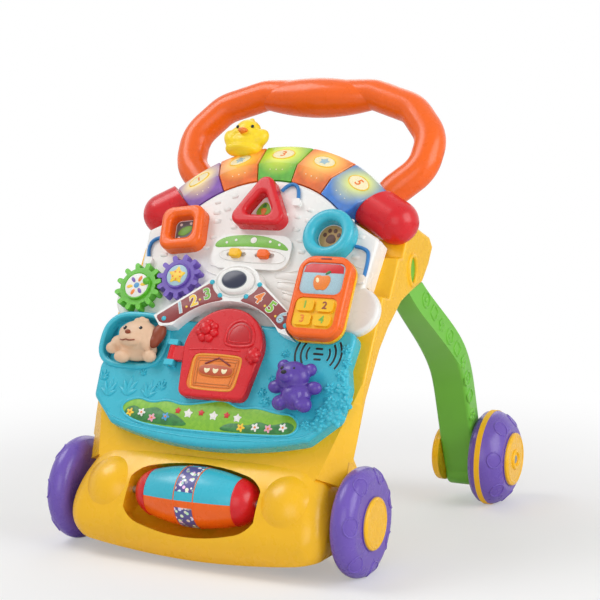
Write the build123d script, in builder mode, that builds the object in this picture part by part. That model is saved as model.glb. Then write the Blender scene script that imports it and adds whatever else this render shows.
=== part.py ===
from build123d import *

import os
from math import cos, radians, sin, tan

os.makedirs("parts", exist_ok=True)

# Driving dimensions in millimetres. +Z is up, the toy faces -Y and X = 0 is its plane of symmetry.
WHEEL_RADIUS = 52.0
WHEELBASE = 316.0
FRONT_OVERHANG = 62.0
HALF_DEPTH = (WHEELBASE + WHEEL_RADIUS + FRONT_OVERHANG) / 2
FRONT_AXLE_Y = FRONT_OVERHANG - HALF_DEPTH
REAR_AXLE_Y = HALF_DEPTH - WHEEL_RADIUS
FIT = 0.3  # clearance between pieces that move apart
TURN = 0.05  # radial clearance of a running bearing

# Running gear, measured along X from the plane of symmetry.
AXLE_RADIUS = 4.0
FRONT_WHEEL_IN = 143.0
FRONT_WHEEL_OUT = 168.0
FRONT_CREST = (FRONT_WHEEL_IN + FRONT_WHEEL_OUT) / 2
FRONT_HUB_RADIUS = 25.0
REAR_WHEEL_IN = 160.0
REAR_WHEEL_OUT = 195.0
REAR_HUB_RADIUS = 29.0
BAND_IN = 169.0
BAND_OUT = 175.0
BAND_SEAT = WHEEL_RADIUS - 6.0
RIM = WHEEL_RADIUS - 0.5
FRONT_FLANK = WHEEL_RADIUS - 14.0
TUCK = WHEEL_RADIUS - 14.0
BORE = AXLE_RADIUS + TURN

# Frame, roller and legs. Side profiles are (y behind the front axle, z).
BASE_HALF_WIDTH = 138.0
BASE_BOTTOM = 8.0
BASE_TOP = 101.0
HOOD_REAR = 56.0
HOOD_CORNER = 20.0
PAD_U = 95.0
ROLLER_Y = -34.0
ROLLER_Z = 66.0
ROLLER_RADIUS = 29.0
ROLLER_SEAM = 48.0
ROLLER_END = 64.0
ARM_IN = 117.0
ARM_OUT = 146.0
LEG_IN = 119.0
LEG_OUT = 158.0
LEG_DEPTH = 27.0
TAB_V = 235.0
TAB_W = -69.0
TAB_TILT = 30.0

# Panel, in (u to the right, v up the lean, w out of the face) from its foot.
PANEL_LEAN = 30.0
PANEL_FOOT = (0.0, FRONT_AXLE_Y - 34.2, 105.0)
TRAY_FACE = 0.0
SEAM_V = 139.0
UPPER_FACE = -8.0
PANEL_BACK = -16.0
UPPER_BACK = -32.0
SHELL_HALF_WIDTH = 116.0
SHELL_FOOT = 40.0
SHELL_TOP = 252.0
SHELL_BACK = -46.0
WALL = 3.0
CELL_RADIUS = 7.25

# Key arch: radii about its centre on the panel's midline.
ARCH_V = 184.0
KEY_INNER = 118.0
KEY_OUTER = 169.0
KEY_PITCH = 18.8
KEY_SPAN = 18.5
KEY_BACK = -34.0
KEY_EDGE = 1.8
BED_BACK = -40.6

# Handle loop, in its own plane behind the panel.
HANDLE_W = -60.0
HANDLE_RADIUS = 16.5
GRIP_RADIUS = 21.5
GRIP_V = 428.5
HANDLE_FOOT_U = 104.0
BAR_TOP = 288.0

# Gears.
GREEN_TEETH = 12
PURPLE_TEETH = 11
GEAR_MODULE = 4.0
GREEN_U = -118.0
GREEN_V = 171.0
MESH_ANGLE = 17.0

# Places of the play pieces on the panel, (u, v).
SQUARE_AT = (-84.0, 238.5)
TRIANGLE_CORE = [(-19.0, 254.0), (19.0, 254.0), (0.0, 288.0)]
TRIANGLE_HOLE = [(-9.0, 260.0), (9.0, 260.0), (0.0, 275.0)]
CIRCLE_AT = (82.0, 237.5)
PHONE_AT = (94.5, 165.5)
BEAR_AT = (88.0, 72.0)
PUPPY_AT = (-105.5, 113.0)
SPEAKER_AT = (90.0, 113.0)
ATTIC_AT = (1.0, 177.0)
CHICK_AT = (-51.0, 351.0)
CHICK_W = -22.0
POWER_AT = (-18.0, 214.5)
VOLUME_AT = (14.0, 214.5)
CORD_RADIUS = 1.9

# Door hinge: pin position on the panel and the span between its lugs.
DOOR_PIN_U = -54.0
DOOR_PIN_W = 5.0
DOOR_PIN_RADIUS = 2.0
LUG_LOW = 87.0
DOOR_LOW = 93.0
DOOR_HIGH = 108.0
LUG_HIGH = 114.0

# Positions that follow from the ones above.
CENTRE_DISTANCE = GEAR_MODULE * (GREEN_TEETH + PURPLE_TEETH) / 2
PURPLE_U = GREEN_U + CENTRE_DISTANCE * cos(radians(MESH_ANGLE))
PURPLE_V = GREEN_V + CENTRE_DISTANCE * sin(radians(MESH_ANGLE))
GEAR_POST = 5.0
BATTERY_AT = (-40.0, 195.0)
CORD_ANCHORS = [(-118.0, 203.0), (34.5, 274.8), (123.5, 194.5)]
LEAN_SIN = sin(radians(PANEL_LEAN))
LEAN_COS = cos(radians(PANEL_LEAN))
UP = (0.0, LEAN_SIN, LEAN_COS)
OUT = (0.0, -LEAN_COS, LEAN_SIN)
PANEL = Plane(origin=PANEL_FOOT, x_dir=(1, 0, 0), z_dir=OUT)
PANEL_SIDE = Plane(origin=PANEL_FOOT, x_dir=UP, z_dir=(1, 0, 0))
SIDE = Plane(origin=(0, FRONT_AXLE_Y, 0), x_dir=(0, 1, 0), z_dir=(1, 0, 0))
FLOOR = Plane(origin=(0, FRONT_AXLE_Y, 0), x_dir=(1, 0, 0), z_dir=(0, 0, 1))
FRONT_VIEW = Plane(origin=(0, FRONT_AXLE_Y, 0), x_dir=(1, 0, 0), z_dir=(0, -1, 0))
OUTWARD = Axis(PANEL_FOOT, OUT)
ARCH = Plane(origin=PANEL.from_local_coords((0, ARCH_V, 0)), x_dir=UP, z_dir=(1, 0, 0))
ARCH_AXIS = Axis(PANEL.from_local_coords((0, ARCH_V, 0)), OUT)
FRONT_AXLE = Axis((0, FRONT_AXLE_Y, WHEEL_RADIUS), (1, 0, 0))
REAR_AXLE = Axis((0, REAR_AXLE_Y, WHEEL_RADIUS), (1, 0, 0))
ROLLER_AXIS = Axis((0, FRONT_AXLE_Y + ROLLER_Y, ROLLER_Z), (1, 0, 0))


def on_panel(u, v, w):
    """Location on the panel with its own +Z pointing out of the face."""
    return Location(PANEL.offset(w)) * Location((u, v, 0))


HINGE = on_panel(DOOR_PIN_U, (LUG_LOW + LUG_HIGH) / 2, DOOR_PIN_W) * Location((0, 0, 0), (90, 0, 0))


def axle_section(axis_y, axis_z):
    """Half-plane through an X axis: local x runs along X, local y is the radius upward."""
    return Plane(origin=(0, axis_y, axis_z), x_dir=(1, 0, 0), z_dir=(0, -1, 0))


def save(piece, node):
    """Label a finished piece and write its STEP file."""
    piece.part.label = node
    export_step(piece.part, f"parts/{node}.step")


def save_pair(right, node):
    """Write a right-hand piece and its mirror image as two nodes."""
    save(right, f"{node}_right")
    with BuildPart() as left:
        mirror(right.part, about=Plane.YZ)
    save(left, f"{node}_left")


FRONT_SECTION = axle_section(FRONT_AXLE_Y, WHEEL_RADIUS)
REAR_SECTION = axle_section(REAR_AXLE_Y, WHEEL_RADIUS)
ROLLER_SECTION = axle_section(FRONT_AXLE_Y + ROLLER_Y, ROLLER_Z)
# The roller's pocket is set forward and down from it, which leaves a lip below the roller.
POCKET_Y = FRONT_AXLE_Y + ROLLER_Y - 5.5
POCKET_Z = ROLLER_Z - 3.5
POCKET_SECTION = axle_section(POCKET_Y, POCKET_Z)
POCKET_AXIS = Axis((0, POCKET_Y, POCKET_Z), (1, 0, 0))

# Front frame: base hood, two side arms with leg sockets, and the cross bar behind the key arch.
ARM_PROFILE = [
    (-4, -16), (182, -16), (188, -32), (230, -32), (236, -41), (264, -41), (278, -62),
    (284, -94), (279, -107), (258, -106), (236, -100), (215, -78), (196, -60), (160, -43),
    (134, -35), (82, -29), (34, -32), (-4, -36),
]
LEG_LINE = [(134, 279.5), (214, 209), (250, 180), (272, 155), (287, 123), (300, 88), (325, 32)]
SOCKET = Plane(origin=SIDE.from_local_coords((134, 279.5, 0)), x_dir=(1, 0, 0), z_dir=(0, 0.75, -0.661))

LEG_TAPER = (1, -0.0733, 0.0646)
ARM_TAPER = (0.679, -0.168 * UP[1] + 0.713 * OUT[1], -0.168 * UP[2] + 0.713 * OUT[2])

with BuildPart() as side_arm:
    with BuildSketch(PANEL_SIDE.offset(ARM_IN)) as arm_face:
        with BuildLine():
            Polyline(*ARM_PROFILE, close=True)
        make_face()
        fillet(arm_face.vertices().filter_by_position(Axis.Z, 250, 600), radius=5)
    extrude(amount=ARM_OUT - ARM_IN)
    fillet(side_arm.faces().sort_by(Axis.X)[-1].edges(), radius=3)
    split(bisect_by=Plane(origin=PANEL.from_local_coords((120, -5, -16)), z_dir=ARM_TAPER), keep=Keep.BOTTOM)

with BuildPart() as roller_pocket:
    with BuildSketch(POCKET_SECTION):
        with BuildLine():
            ThreePointArc((-50, 30.5), (0, ROLLER_RADIUS + 7.5), (50, 30.5))
            ThreePointArc((50, 30.5), (62, 26), (ROLLER_END + 7, 18))
            Polyline((ROLLER_END + 7, 18), (ROLLER_END + 7, 0), (-ROLLER_END - 7, 0), (-ROLLER_END - 7, 18))
            ThreePointArc((-ROLLER_END - 7, 18), (-62, 26), (-50, 30.5))
        make_face()
    revolve(axis=POCKET_AXIS)

# Hood sections: height, then how far in from the widest and back from the foremost line.
HOOD_SECTIONS = [
    (BASE_BOTTOM, 22, 12), (20, 7, 3.5), (34, 1, 0), (52, 0, 4), (72, 5, 14), (88, 12, 26),
    (BASE_TOP, 18, 42),
]
HOOD_BOW = 6.0
PAD_SPHERE = 36.0
with BuildPart() as front_frame:
    for height, narrower, back in HOOD_SECTIONS:
        edge = BASE_HALF_WIDTH - narrower
        front = back - FRONT_OVERHANG
        with BuildSketch(FLOOR.offset(height)) as hood_plan:
            with BuildLine():
                ThreePointArc((-edge, front + HOOD_BOW), (0, front), (edge, front + HOOD_BOW))
                Line((edge, front + HOOD_BOW), (edge, HOOD_REAR))
                Line((edge, HOOD_REAR), (-edge, HOOD_REAR))
                Line((-edge, HOOD_REAR), (-edge, front + HOOD_BOW))
            make_face()
            fillet(hood_plan.vertices().group_by(Axis.Y)[0], radius=HOOD_CORNER)
    loft()
    # round pads beside the roller swell out of the hood
    with Locations((PAD_U, FRONT_AXLE_Y - 19.5, 59), (-PAD_U, FRONT_AXLE_Y - 19.5, 59)):
        Sphere(PAD_SPHERE)
    with BuildSketch(FRONT_VIEW.offset(-80)):
        with BuildLine():
            ThreePointArc((-150, 24), (0, BASE_BOTTOM), (150, 24))
            Polyline((150, 24), (150, BASE_TOP), (-150, BASE_TOP), (-150, 24))
        make_face()
    extrude(amount=160, mode=Mode.INTERSECT)
    # hollows open below: one behind the axle and one beside each end of the roller
    with BuildSketch(FLOOR):
        with Locations((0, 30)):
            Rectangle(224, 40)
        with Locations((96, -21), (-96, -21)):
            Rectangle(40, 26)
    extrude(amount=BASE_TOP - 2 * WALL - 40, mode=Mode.SUBTRACT)
    # arms, cross bar and the wheel arches that clear the tyres
    add(side_arm.part)
    mirror(side_arm.part, about=Plane.YZ)
    with BuildSketch(PANEL_SIDE.offset(-ARM_IN - 2)):
        with Locations(((BAR_TOP + 256.5) / 2, -58)):
            Rectangle(BAR_TOP - 256.5, 34)
    extrude(amount=2 * ARM_IN + 4)
    with BuildSketch(PANEL_SIDE.offset(-ARM_IN - 2)):
        with Locations((SHELL_FOOT / 2 - 3.5, PANEL_BACK - 6)):
            Rectangle(SHELL_FOOT + 6, 12)
    extrude(amount=2 * ARM_IN + 4)
    add(roller_pocket.part, mode=Mode.SUBTRACT)
    for side in (1, -1):
        with Locations(Location((side * (FRONT_WHEEL_IN + 20), FRONT_AXLE_Y, WHEEL_RADIUS), (0, 90, 0))):
            Cylinder(radius=WHEEL_RADIUS + 2.5, height=44, mode=Mode.SUBTRACT)
    # leg sockets, tab slots, handle holes and axle bores
    for side in (1, -1):
        with BuildSketch(SOCKET):
            with Locations((side * 131, 0)):
                Rectangle(22, 20)
        extrude(amount=60, mode=Mode.SUBTRACT)
        with BuildSketch(PANEL_SIDE.offset(side * ARM_OUT)):
            with Locations(Location((TAB_V, TAB_W, 0), TAB_TILT)):
                SlotOverall(30, 20)
        extrude(amount=side * -14, mode=Mode.SUBTRACT)
        with Locations(on_panel(side * HANDLE_FOOT_U, BAR_TOP, HANDLE_W) * Location((0, 0, 0), (-90, 0, 0))):
            Cylinder(radius=10, height=44, mode=Mode.SUBTRACT)
    with Locations(Location((0, FRONT_AXLE_Y, WHEEL_RADIUS), (0, 90, 0))):
        Cylinder(radius=AXLE_RADIUS, height=300, mode=Mode.SUBTRACT)
    with Locations(Location((0, FRONT_AXLE_Y + ROLLER_Y, ROLLER_Z), (0, 90, 0))):
        Cylinder(radius=AXLE_RADIUS, height=2 * ROLLER_END + 24, mode=Mode.SUBTRACT)
save(front_frame, "front_frame")

with BuildPart() as base_plate:
    with BuildSketch(FLOOR.offset(18)):
        with Locations((0, 30)):
            Rectangle(223.4, 39.4)
    extrude(amount=2.5)
    with BuildSketch(FLOOR.offset(20.5)):
        with Locations((60, 30), (-60, 30)):
            Circle(5)
    extrude(amount=BASE_TOP - 2 * WALL - 40 - 20.5)
save(base_plate, "base_plate")

# Rear legs: a bent bar from the arm's socket to the rear axle, with a snap-in tongue.
with BuildPart() as arm_block:
    with BuildSketch(PANEL_SIDE.offset(ARM_IN - 20)):
        with BuildLine():
            Polyline(*ARM_PROFILE, close=True)
        make_face()
    extrude(amount=ARM_OUT - ARM_IN + 40)

with BuildPart() as leg:
    with BuildSketch(SIDE.offset(LEG_IN)):
        with BuildLine():
            Spline(*LEG_LINE)
        trace(line_width=LEG_DEPTH)
        with Locations(LEG_LINE[-1]):
            Circle(16)
    extrude(amount=LEG_OUT - LEG_IN)
    fillet(leg.faces().sort_by(Axis.X)[-1].edges(), radius=4)
    fillet(leg.faces().sort_by(Axis.X)[0].edges(), radius=4)
    split(bisect_by=Plane(origin=SIDE.from_local_coords((166, 251.4, ARM_OUT - 0.5)), z_dir=LEG_TAPER), keep=Keep.BOTTOM)
    add(arm_block.part, mode=Mode.SUBTRACT)
    with BuildSketch(SOCKET):
        with Locations((131, 0)):
            Rectangle(21.6, 19.6)
    extrude(amount=60)
    with BuildSketch(PANEL_SIDE.offset(ARM_OUT - 14)):
        with Locations(Location((TAB_V, TAB_W, 0), TAB_TILT)):
            SlotOverall(32, 22)
    extrude(amount=14, mode=Mode.SUBTRACT)
    with Locations(Location((LEG_OUT, REAR_AXLE_Y, WHEEL_RADIUS), (0, 90, 0))):
        Cylinder(radius=13, height=1.6, align=(Align.CENTER, Align.CENTER, Align.MIN))
    with Locations(Location((LEG_OUT, REAR_AXLE_Y, WHEEL_RADIUS), (0, 90, 0))):
        Cylinder(radius=AXLE_RADIUS, height=120, mode=Mode.SUBTRACT)
save_pair(leg, "leg")

with BuildPart() as leg_tab:
    with BuildSketch(PANEL_SIDE.offset(ARM_OUT - 9)):
        with Locations(Location((TAB_V, TAB_W, 0), TAB_TILT)):
            SlotOverall(29.4, 19.4)
    extrude(amount=8)
    fillet(leg_tab.faces().sort_by(Axis.X)[-1].edges(), radius=2)
save_pair(leg_tab, "leg_tab")

# Steel pins: front axle, rear stub axles, roller rod and door pin.
with BuildPart() as steel_pins:
    with Locations(Location((0, FRONT_AXLE_Y, WHEEL_RADIUS), (0, 90, 0))):
        Cylinder(radius=AXLE_RADIUS, height=2 * FRONT_WHEEL_OUT - 6)
    with Locations(Location((0, FRONT_AXLE_Y + ROLLER_Y, ROLLER_Z), (0, 90, 0))):
        Cylinder(radius=AXLE_RADIUS, height=2 * ROLLER_END + 24)
    for side in (1, -1):
        stub = (LEG_IN + REAR_WHEEL_OUT - 2) / 2
        with Locations(Location((side * stub, REAR_AXLE_Y, WHEEL_RADIUS), (0, 90, 0))):
            Cylinder(radius=AXLE_RADIUS, height=REAR_WHEEL_OUT - 2 - LEG_IN)
    with Locations(HINGE):
        Cylinder(radius=DOOR_PIN_RADIUS, height=LUG_HIGH - LUG_LOW)
save(steel_pins, "steel_pins")

with BuildPart() as axle_caps:
    for side in (1, -1):
        with Locations(Location((side * LEG_IN, REAR_AXLE_Y, WHEEL_RADIUS), (0, -90 * side, 0))):
            Cylinder(radius=30, height=8, align=(Align.CENTER, Align.CENTER, Align.MIN))
    fillet(axle_caps.faces().sort_by(Axis.X)[2:-2].edges(), radius=3)
save(axle_caps, "axle_caps")

# Wheels turn on the axles with a running clearance.
with BuildPart() as front_wheel:
    with BuildSketch(FRONT_SECTION):
        with BuildLine():
            ThreePointArc((FRONT_WHEEL_IN, TUCK), (FRONT_CREST, WHEEL_RADIUS), (FRONT_WHEEL_OUT, FRONT_FLANK))
            Polyline((FRONT_WHEEL_OUT, FRONT_FLANK), (FRONT_WHEEL_OUT, BORE), (FRONT_WHEEL_IN, BORE))
            Line((FRONT_WHEEL_IN, BORE), (FRONT_WHEEL_IN, TUCK))
        make_face()
    revolve(axis=FRONT_AXLE)
save_pair(front_wheel, "front_wheel")

with BuildPart() as front_hub:
    with Locations(Location((FRONT_WHEEL_OUT, FRONT_AXLE_Y, WHEEL_RADIUS), (0, 90, 0))):
        Cylinder(radius=FRONT_HUB_RADIUS, height=3.5, align=(Align.CENTER, Align.CENTER, Align.MIN))
    fillet(front_hub.faces().sort_by(Axis.X)[-1].edges(), radius=2)
save_pair(front_hub, "front_hub")

with BuildPart() as rear_wheel:
    with BuildSketch(REAR_SECTION):
        with BuildLine():
            Polyline((REAR_WHEEL_IN, BORE), (REAR_WHEEL_IN, BAND_SEAT), (164, RIM - 1.5), (BAND_IN, RIM))
            Polyline((BAND_IN, RIM), (BAND_IN, BAND_SEAT), (BAND_OUT, BAND_SEAT), (BAND_OUT, RIM))
            ThreePointArc((BAND_OUT, RIM), (187.5, RIM - 6.5), (REAR_WHEEL_OUT, RIM - 16.5))
            Polyline((REAR_WHEEL_OUT, RIM - 16.5), (REAR_WHEEL_OUT, BORE), (REAR_WHEEL_IN, BORE))
        make_face()
    revolve(axis=REAR_AXLE)
save_pair(rear_wheel, "rear_wheel")

with BuildPart() as rear_band:
    with BuildSketch(REAR_SECTION):
        with Locations(((BAND_IN + BAND_OUT) / 2, (BAND_SEAT + WHEEL_RADIUS) / 2)):
            Rectangle(BAND_OUT - BAND_IN, WHEEL_RADIUS - BAND_SEAT)
    revolve(axis=REAR_AXLE)
save_pair(rear_band, "rear_band")

with BuildPart() as rear_hub:
    with Locations(Location((REAR_WHEEL_OUT, REAR_AXLE_Y, WHEEL_RADIUS), (0, 90, 0))):
        Cylinder(radius=REAR_HUB_RADIUS, height=4, align=(Align.CENTER, Align.CENTER, Align.MIN))
    fillet(rear_hub.faces().sort_by(Axis.X)[-1].edges(), radius=2)
save_pair(rear_hub, "rear_hub")

# Roller: two half shells of a spindle with a cone at each end, spinning on its rod.
with BuildPart() as roller_upper:
    with BuildSketch(ROLLER_SECTION):
        with BuildLine():
            ThreePointArc((-ROLLER_SEAM, 22), (0, ROLLER_RADIUS), (ROLLER_SEAM, 22))
            Polyline((ROLLER_SEAM, 22), (ROLLER_SEAM, BORE), (-ROLLER_SEAM, BORE), (-ROLLER_SEAM, 22))
        make_face()
    revolve(axis=ROLLER_AXIS, revolution_arc=180)
with BuildPart() as roller_lower:
    add(roller_upper.part.rotate(ROLLER_AXIS, 180))
ROLLER_TILT = -95.0
with BuildPart() as roller_top:
    add(roller_upper.part.rotate(ROLLER_AXIS, ROLLER_TILT))
save(roller_top, "roller_upper")
with BuildPart() as roller_bottom:
    add(roller_lower.part.rotate(ROLLER_AXIS, ROLLER_TILT))
save(roller_bottom, "roller_lower")

with BuildPart() as roller_ends:
    with BuildSketch(ROLLER_SECTION):
        with BuildLine():
            ThreePointArc((ROLLER_SEAM, 22.4), (58, 17.5), (ROLLER_END, 9))
            Polyline((ROLLER_END, 9), (ROLLER_END, BORE), (ROLLER_SEAM, BORE), (ROLLER_SEAM, 22.4))
        make_face()
    revolve(axis=ROLLER_AXIS)
    mirror(roller_ends.part, about=Plane.YZ)
save(roller_ends, "roller_ends")

# Push handle: a bent tube with a swollen middle grip, standing on the cross bar.
HANDLE_LINE = [
    (HANDLE_FOOT_U, BAR_TOP), (HANDLE_FOOT_U, BAR_TOP + 24), (HANDLE_FOOT_U + 33, BAR_TOP + 56),
    (140, GRIP_V - 48), (112, GRIP_V - 14), (64, GRIP_V + 3.5),
]
GRIP_LINE = [(-78, GRIP_V + 9), (-40, GRIP_V + GRIP_RADIUS - 3.5), (0, GRIP_V + GRIP_RADIUS)]
with BuildPart() as handle:
    with BuildLine(PANEL.offset(HANDLE_W)) as loop:
        FilletPolyline(*HANDLE_LINE, *[(-u, v) for u, v in reversed(HANDLE_LINE)], radius=36)
    with BuildSketch(Plane(origin=loop.wire() @ 0, z_dir=loop.wire() % 0)):
        Circle(HANDLE_RADIUS)
    sweep()
    with BuildSketch(PANEL.offset(HANDLE_W)):
        with BuildLine():
            Spline(*GRIP_LINE, *[(-u, v) for u, v in reversed(GRIP_LINE[:-1])])
            Polyline((78, GRIP_V + 9), (78, GRIP_V), (-78, GRIP_V), (-78, GRIP_V + 9))
        make_face()
    revolve(axis=Axis(PANEL.from_local_coords((0, GRIP_V, HANDLE_W)), (1, 0, 0)))
    for side in (1, -1):
        with Locations(on_panel(side * HANDLE_FOOT_U, BAR_TOP, HANDLE_W) * Location((0, 0, 0), (90, 0, 0))):
            Cylinder(radius=9.8, height=20, align=(Align.CENTER, Align.CENTER, Align.MIN))
save(handle, "handle")

# Lower tray: scalloped slab with a puppy pocket, a door recess, hinge lugs, a bear post and speaker slots.
with BuildPart() as tray:
    with BuildSketch(PANEL.offset(PANEL_BACK)) as tray_outline:
        with BuildLine():
            ThreePointArc((-108, 26), (0, 11), (108, 26))
            Polyline((108, 26), (135, 52), (138, 84), (132, 104), (135, SEAM_V))
            Polyline((135, SEAM_V), (-135, SEAM_V), (-132, 104), (-138, 84), (-135, 52), (-108, 26))
        make_face()
        fillet(tray_outline.vertices().filter_by_position(Axis.Z, 0, 205), radius=10)
    extrude(amount=TRAY_FACE - PANEL_BACK)
    rim = tray.faces().sort_by(OUTWARD)[-1].edges()
    fillet(rim.sort_by(Axis.Z)[:-1], radius=4.5)
    with BuildSketch(PANEL):
        with Locations(PUPPY_AT):
            RectangleRounded(68, 47, radius=20)
        with Locations((1, 92)):
            RectangleRounded(56, 62, radius=12)
    extrude(amount=-9, mode=Mode.SUBTRACT)
    with BuildSketch(PANEL.offset(-9)):
        with Locations(PUPPY_AT):
            SlotOverall(40, 7)
    extrude(amount=-4, mode=Mode.SUBTRACT)
    with BuildSketch(PANEL):
        with Locations(BEAR_AT):
            Circle(AXLE_RADIUS)
    extrude(amount=10)
    with BuildSketch(PANEL):
        with Locations((DOOR_PIN_U, (LUG_LOW + DOOR_LOW) / 2), (DOOR_PIN_U, (LUG_HIGH + DOOR_HIGH) / 2)):
            Rectangle(10, DOOR_LOW - LUG_LOW - FIT)
    extrude(amount=DOOR_PIN_W + 4.5)
    with Locations(HINGE):
        Cylinder(radius=DOOR_PIN_RADIUS, height=LUG_HIGH - LUG_LOW, mode=Mode.SUBTRACT)
    with BuildSketch(PANEL):
        with Locations((100, 113)):
            for slot_radius in (9, 15, 21):
                SlotArc(CenterArc((0, 0), slot_radius, 15, 105), height=3)
                SlotArc(CenterArc((0, 0), slot_radius, 195, 105), height=3)
    extrude(amount=-3, mode=Mode.SUBTRACT)
    # lightening pockets and board posts at the back
    with BuildSketch(PANEL.offset(PANEL_BACK)):
        with Locations((86, 62)):
            RectangleRounded(44, 50, radius=5)
        with Locations((0, 42)):
            RectangleRounded(110, 26, radius=5)
    extrude(amount=11, mode=Mode.SUBTRACT)
    with BuildSketch(PANEL.offset(PANEL_BACK)):
        with Locations((48, 68), (-48, 68), (48, 122), (-48, 122)):
            Circle(3)
    extrude(amount=-4)
save(tray, "tray")

# Upper panel: cloud-shaped slab, deeper behind the shape rings, with bosses, gear posts and a switch plate.
with BuildPart() as upper_panel:
    with BuildSketch(PANEL.offset(PANEL_BACK)) as cloud:
        with BuildLine():
            ThreePointArc((-84, 265.8), (0, ARCH_V + KEY_INNER - 0.8), (84, 265.8))
            Polyline((84, 265.8), (131, 240), (127, 188))
            ThreePointArc((127, 188), (147, 160), (128, SEAM_V))
            Line((128, SEAM_V), (-128, SEAM_V))
            ThreePointArc((-128, SEAM_V), (-147, 160), (-127, 188))
            Polyline((-127, 188), (-131, 240), (-84, 265.8))
        make_face()
        fillet(cloud.vertices().sort_by(Axis.Z)[2:], radius=5)
    extrude(amount=UPPER_FACE - PANEL_BACK)
    fillet(upper_panel.faces().sort_by(OUTWARD)[-1].edges().sort_by(Axis.Z)[1:], radius=4)
    with BuildSketch(PANEL.offset(UPPER_BACK)):
        with BuildLine():
            ThreePointArc((-84, 265.8), (0, ARCH_V + KEY_INNER - 0.8), (84, 265.8))
            Polyline((84, 265.8), (131, 240), (127, 191))
            Polyline((127, 191), (-127, 191), (-131, 240), (-84, 265.8))
        make_face()
        with Locations((0, 219)):
            Rectangle(2 * SHELL_HALF_WIDTH + 1, 68, mode=Mode.SUBTRACT)
    extrude(amount=PANEL_BACK - UPPER_BACK)
    with BuildSketch(PANEL.offset(UPPER_FACE)):
        with Locations(Location((SQUARE_AT[0], SQUARE_AT[1], 0), 8)):
            RectangleRounded(24, 24, radius=6)
        with Locations(CIRCLE_AT):
            Circle(14)
    extrude(amount=3)
    with BuildSketch(PANEL.offset(UPPER_FACE)):
        with BuildLine():
            Polyline(*TRIANGLE_HOLE, close=True)
        make_face()
        offset(amount=4.5)
    extrude(amount=3)
    with BuildSketch(PANEL.offset(UPPER_FACE)):
        with Locations((GREEN_U, GREEN_V), (PURPLE_U, PURPLE_V)):
            Circle(GEAR_POST)
    extrude(amount=9)
    with BuildSketch(PANEL.offset(UPPER_FACE)):
        with Locations((-2, 218)):
            RectangleRounded(88, 38, radius=14)
    extrude(amount=4)
    with BuildSketch(PANEL.offset(UPPER_FACE + 4)):
        with Locations(POWER_AT, VOLUME_AT):
            SlotOverall(22, 5)
    extrude(amount=-4, mode=Mode.SUBTRACT)
    with BuildSketch(PANEL.offset(UPPER_FACE)):
        with Locations((94.5, 172)):
            RectangleRounded(44, 60, radius=10)
    extrude(amount=-UPPER_FACE)
    with BuildSketch(PANEL.offset(UPPER_FACE)):
        with Locations(*CORD_ANCHORS):
            RectangleRounded(8, 8, radius=2)
    extrude(amount=5)
save(upper_panel, "upper_panel")

# Back shell with the battery compartment, and what it houses.
with BuildPart() as panel_back:
    with BuildSketch(PANEL.offset(SHELL_BACK)):
        with Locations((0, (SHELL_FOOT + SHELL_TOP) / 2)):
            RectangleRounded(2 * SHELL_HALF_WIDTH, SHELL_TOP - SHELL_FOOT, radius=12)
    extrude(amount=PANEL_BACK - SHELL_BACK)
    fillet(panel_back.faces().sort_by(OUTWARD)[0].edges(), radius=5)
    with BuildSketch(PANEL.offset(PANEL_BACK)):
        with Locations((0, (SHELL_FOOT + SHELL_TOP) / 2)):
            RectangleRounded(2 * (SHELL_HALF_WIDTH - WALL), SHELL_TOP - SHELL_FOOT - 2 * WALL, radius=9)
    extrude(amount=-(PANEL_BACK - SHELL_BACK - WALL), mode=Mode.SUBTRACT)
    with BuildSketch(PANEL.offset(SHELL_BACK)):
        with Locations(BATTERY_AT):
            Rectangle(62, 44)
    extrude(amount=WALL, mode=Mode.SUBTRACT)
save(panel_back, "panel_back")

with BuildPart() as battery_door:
    with BuildSketch(PANEL.offset(SHELL_BACK)):
        with Locations(BATTERY_AT):
            RectangleRounded(70, 52, radius=4)
    extrude(amount=-2)
    with BuildSketch(PANEL.offset(SHELL_BACK)):
        with Locations(BATTERY_AT):
            Rectangle(61.4, 43.4)
    extrude(amount=WALL)
save(battery_door, "battery_door")

with BuildPart() as batteries:
    for row in (-9, 9):
        cell = on_panel(BATTERY_AT[0], BATTERY_AT[1] + row, SHELL_BACK + WALL + CELL_RADIUS)
        with Locations(cell * Location((0, 0, 0), (0, 90, 0))):
            Cylinder(radius=CELL_RADIUS, height=50)
save(batteries, "batteries")

with BuildPart() as circuit_board:
    with BuildSketch(PANEL.offset(PANEL_BACK - 4)):
        with Locations((0, 95)):
            Rectangle(110, 66)
    extrude(amount=-1.6)
save(circuit_board, "circuit_board")

with BuildPart() as speaker:
    with BuildSketch(PANEL.offset(PANEL_BACK)):
        with Locations(SPEAKER_AT):
            Circle(22)
    extrude(amount=-4)
    with BuildSketch(PANEL.offset(PANEL_BACK - 4)):
        with Locations(SPEAKER_AT):
            Circle(14)
    extrude(amount=-9)
save(speaker, "speaker")

with BuildPart() as screws:
    with BuildSketch(PANEL.offset(SHELL_BACK)):
        with Locations((100, 54), (-100, 54), (100, 234), (-100, 234)):
            Circle(4)
    extrude(amount=-2.2)
save(screws, "screws")

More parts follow.
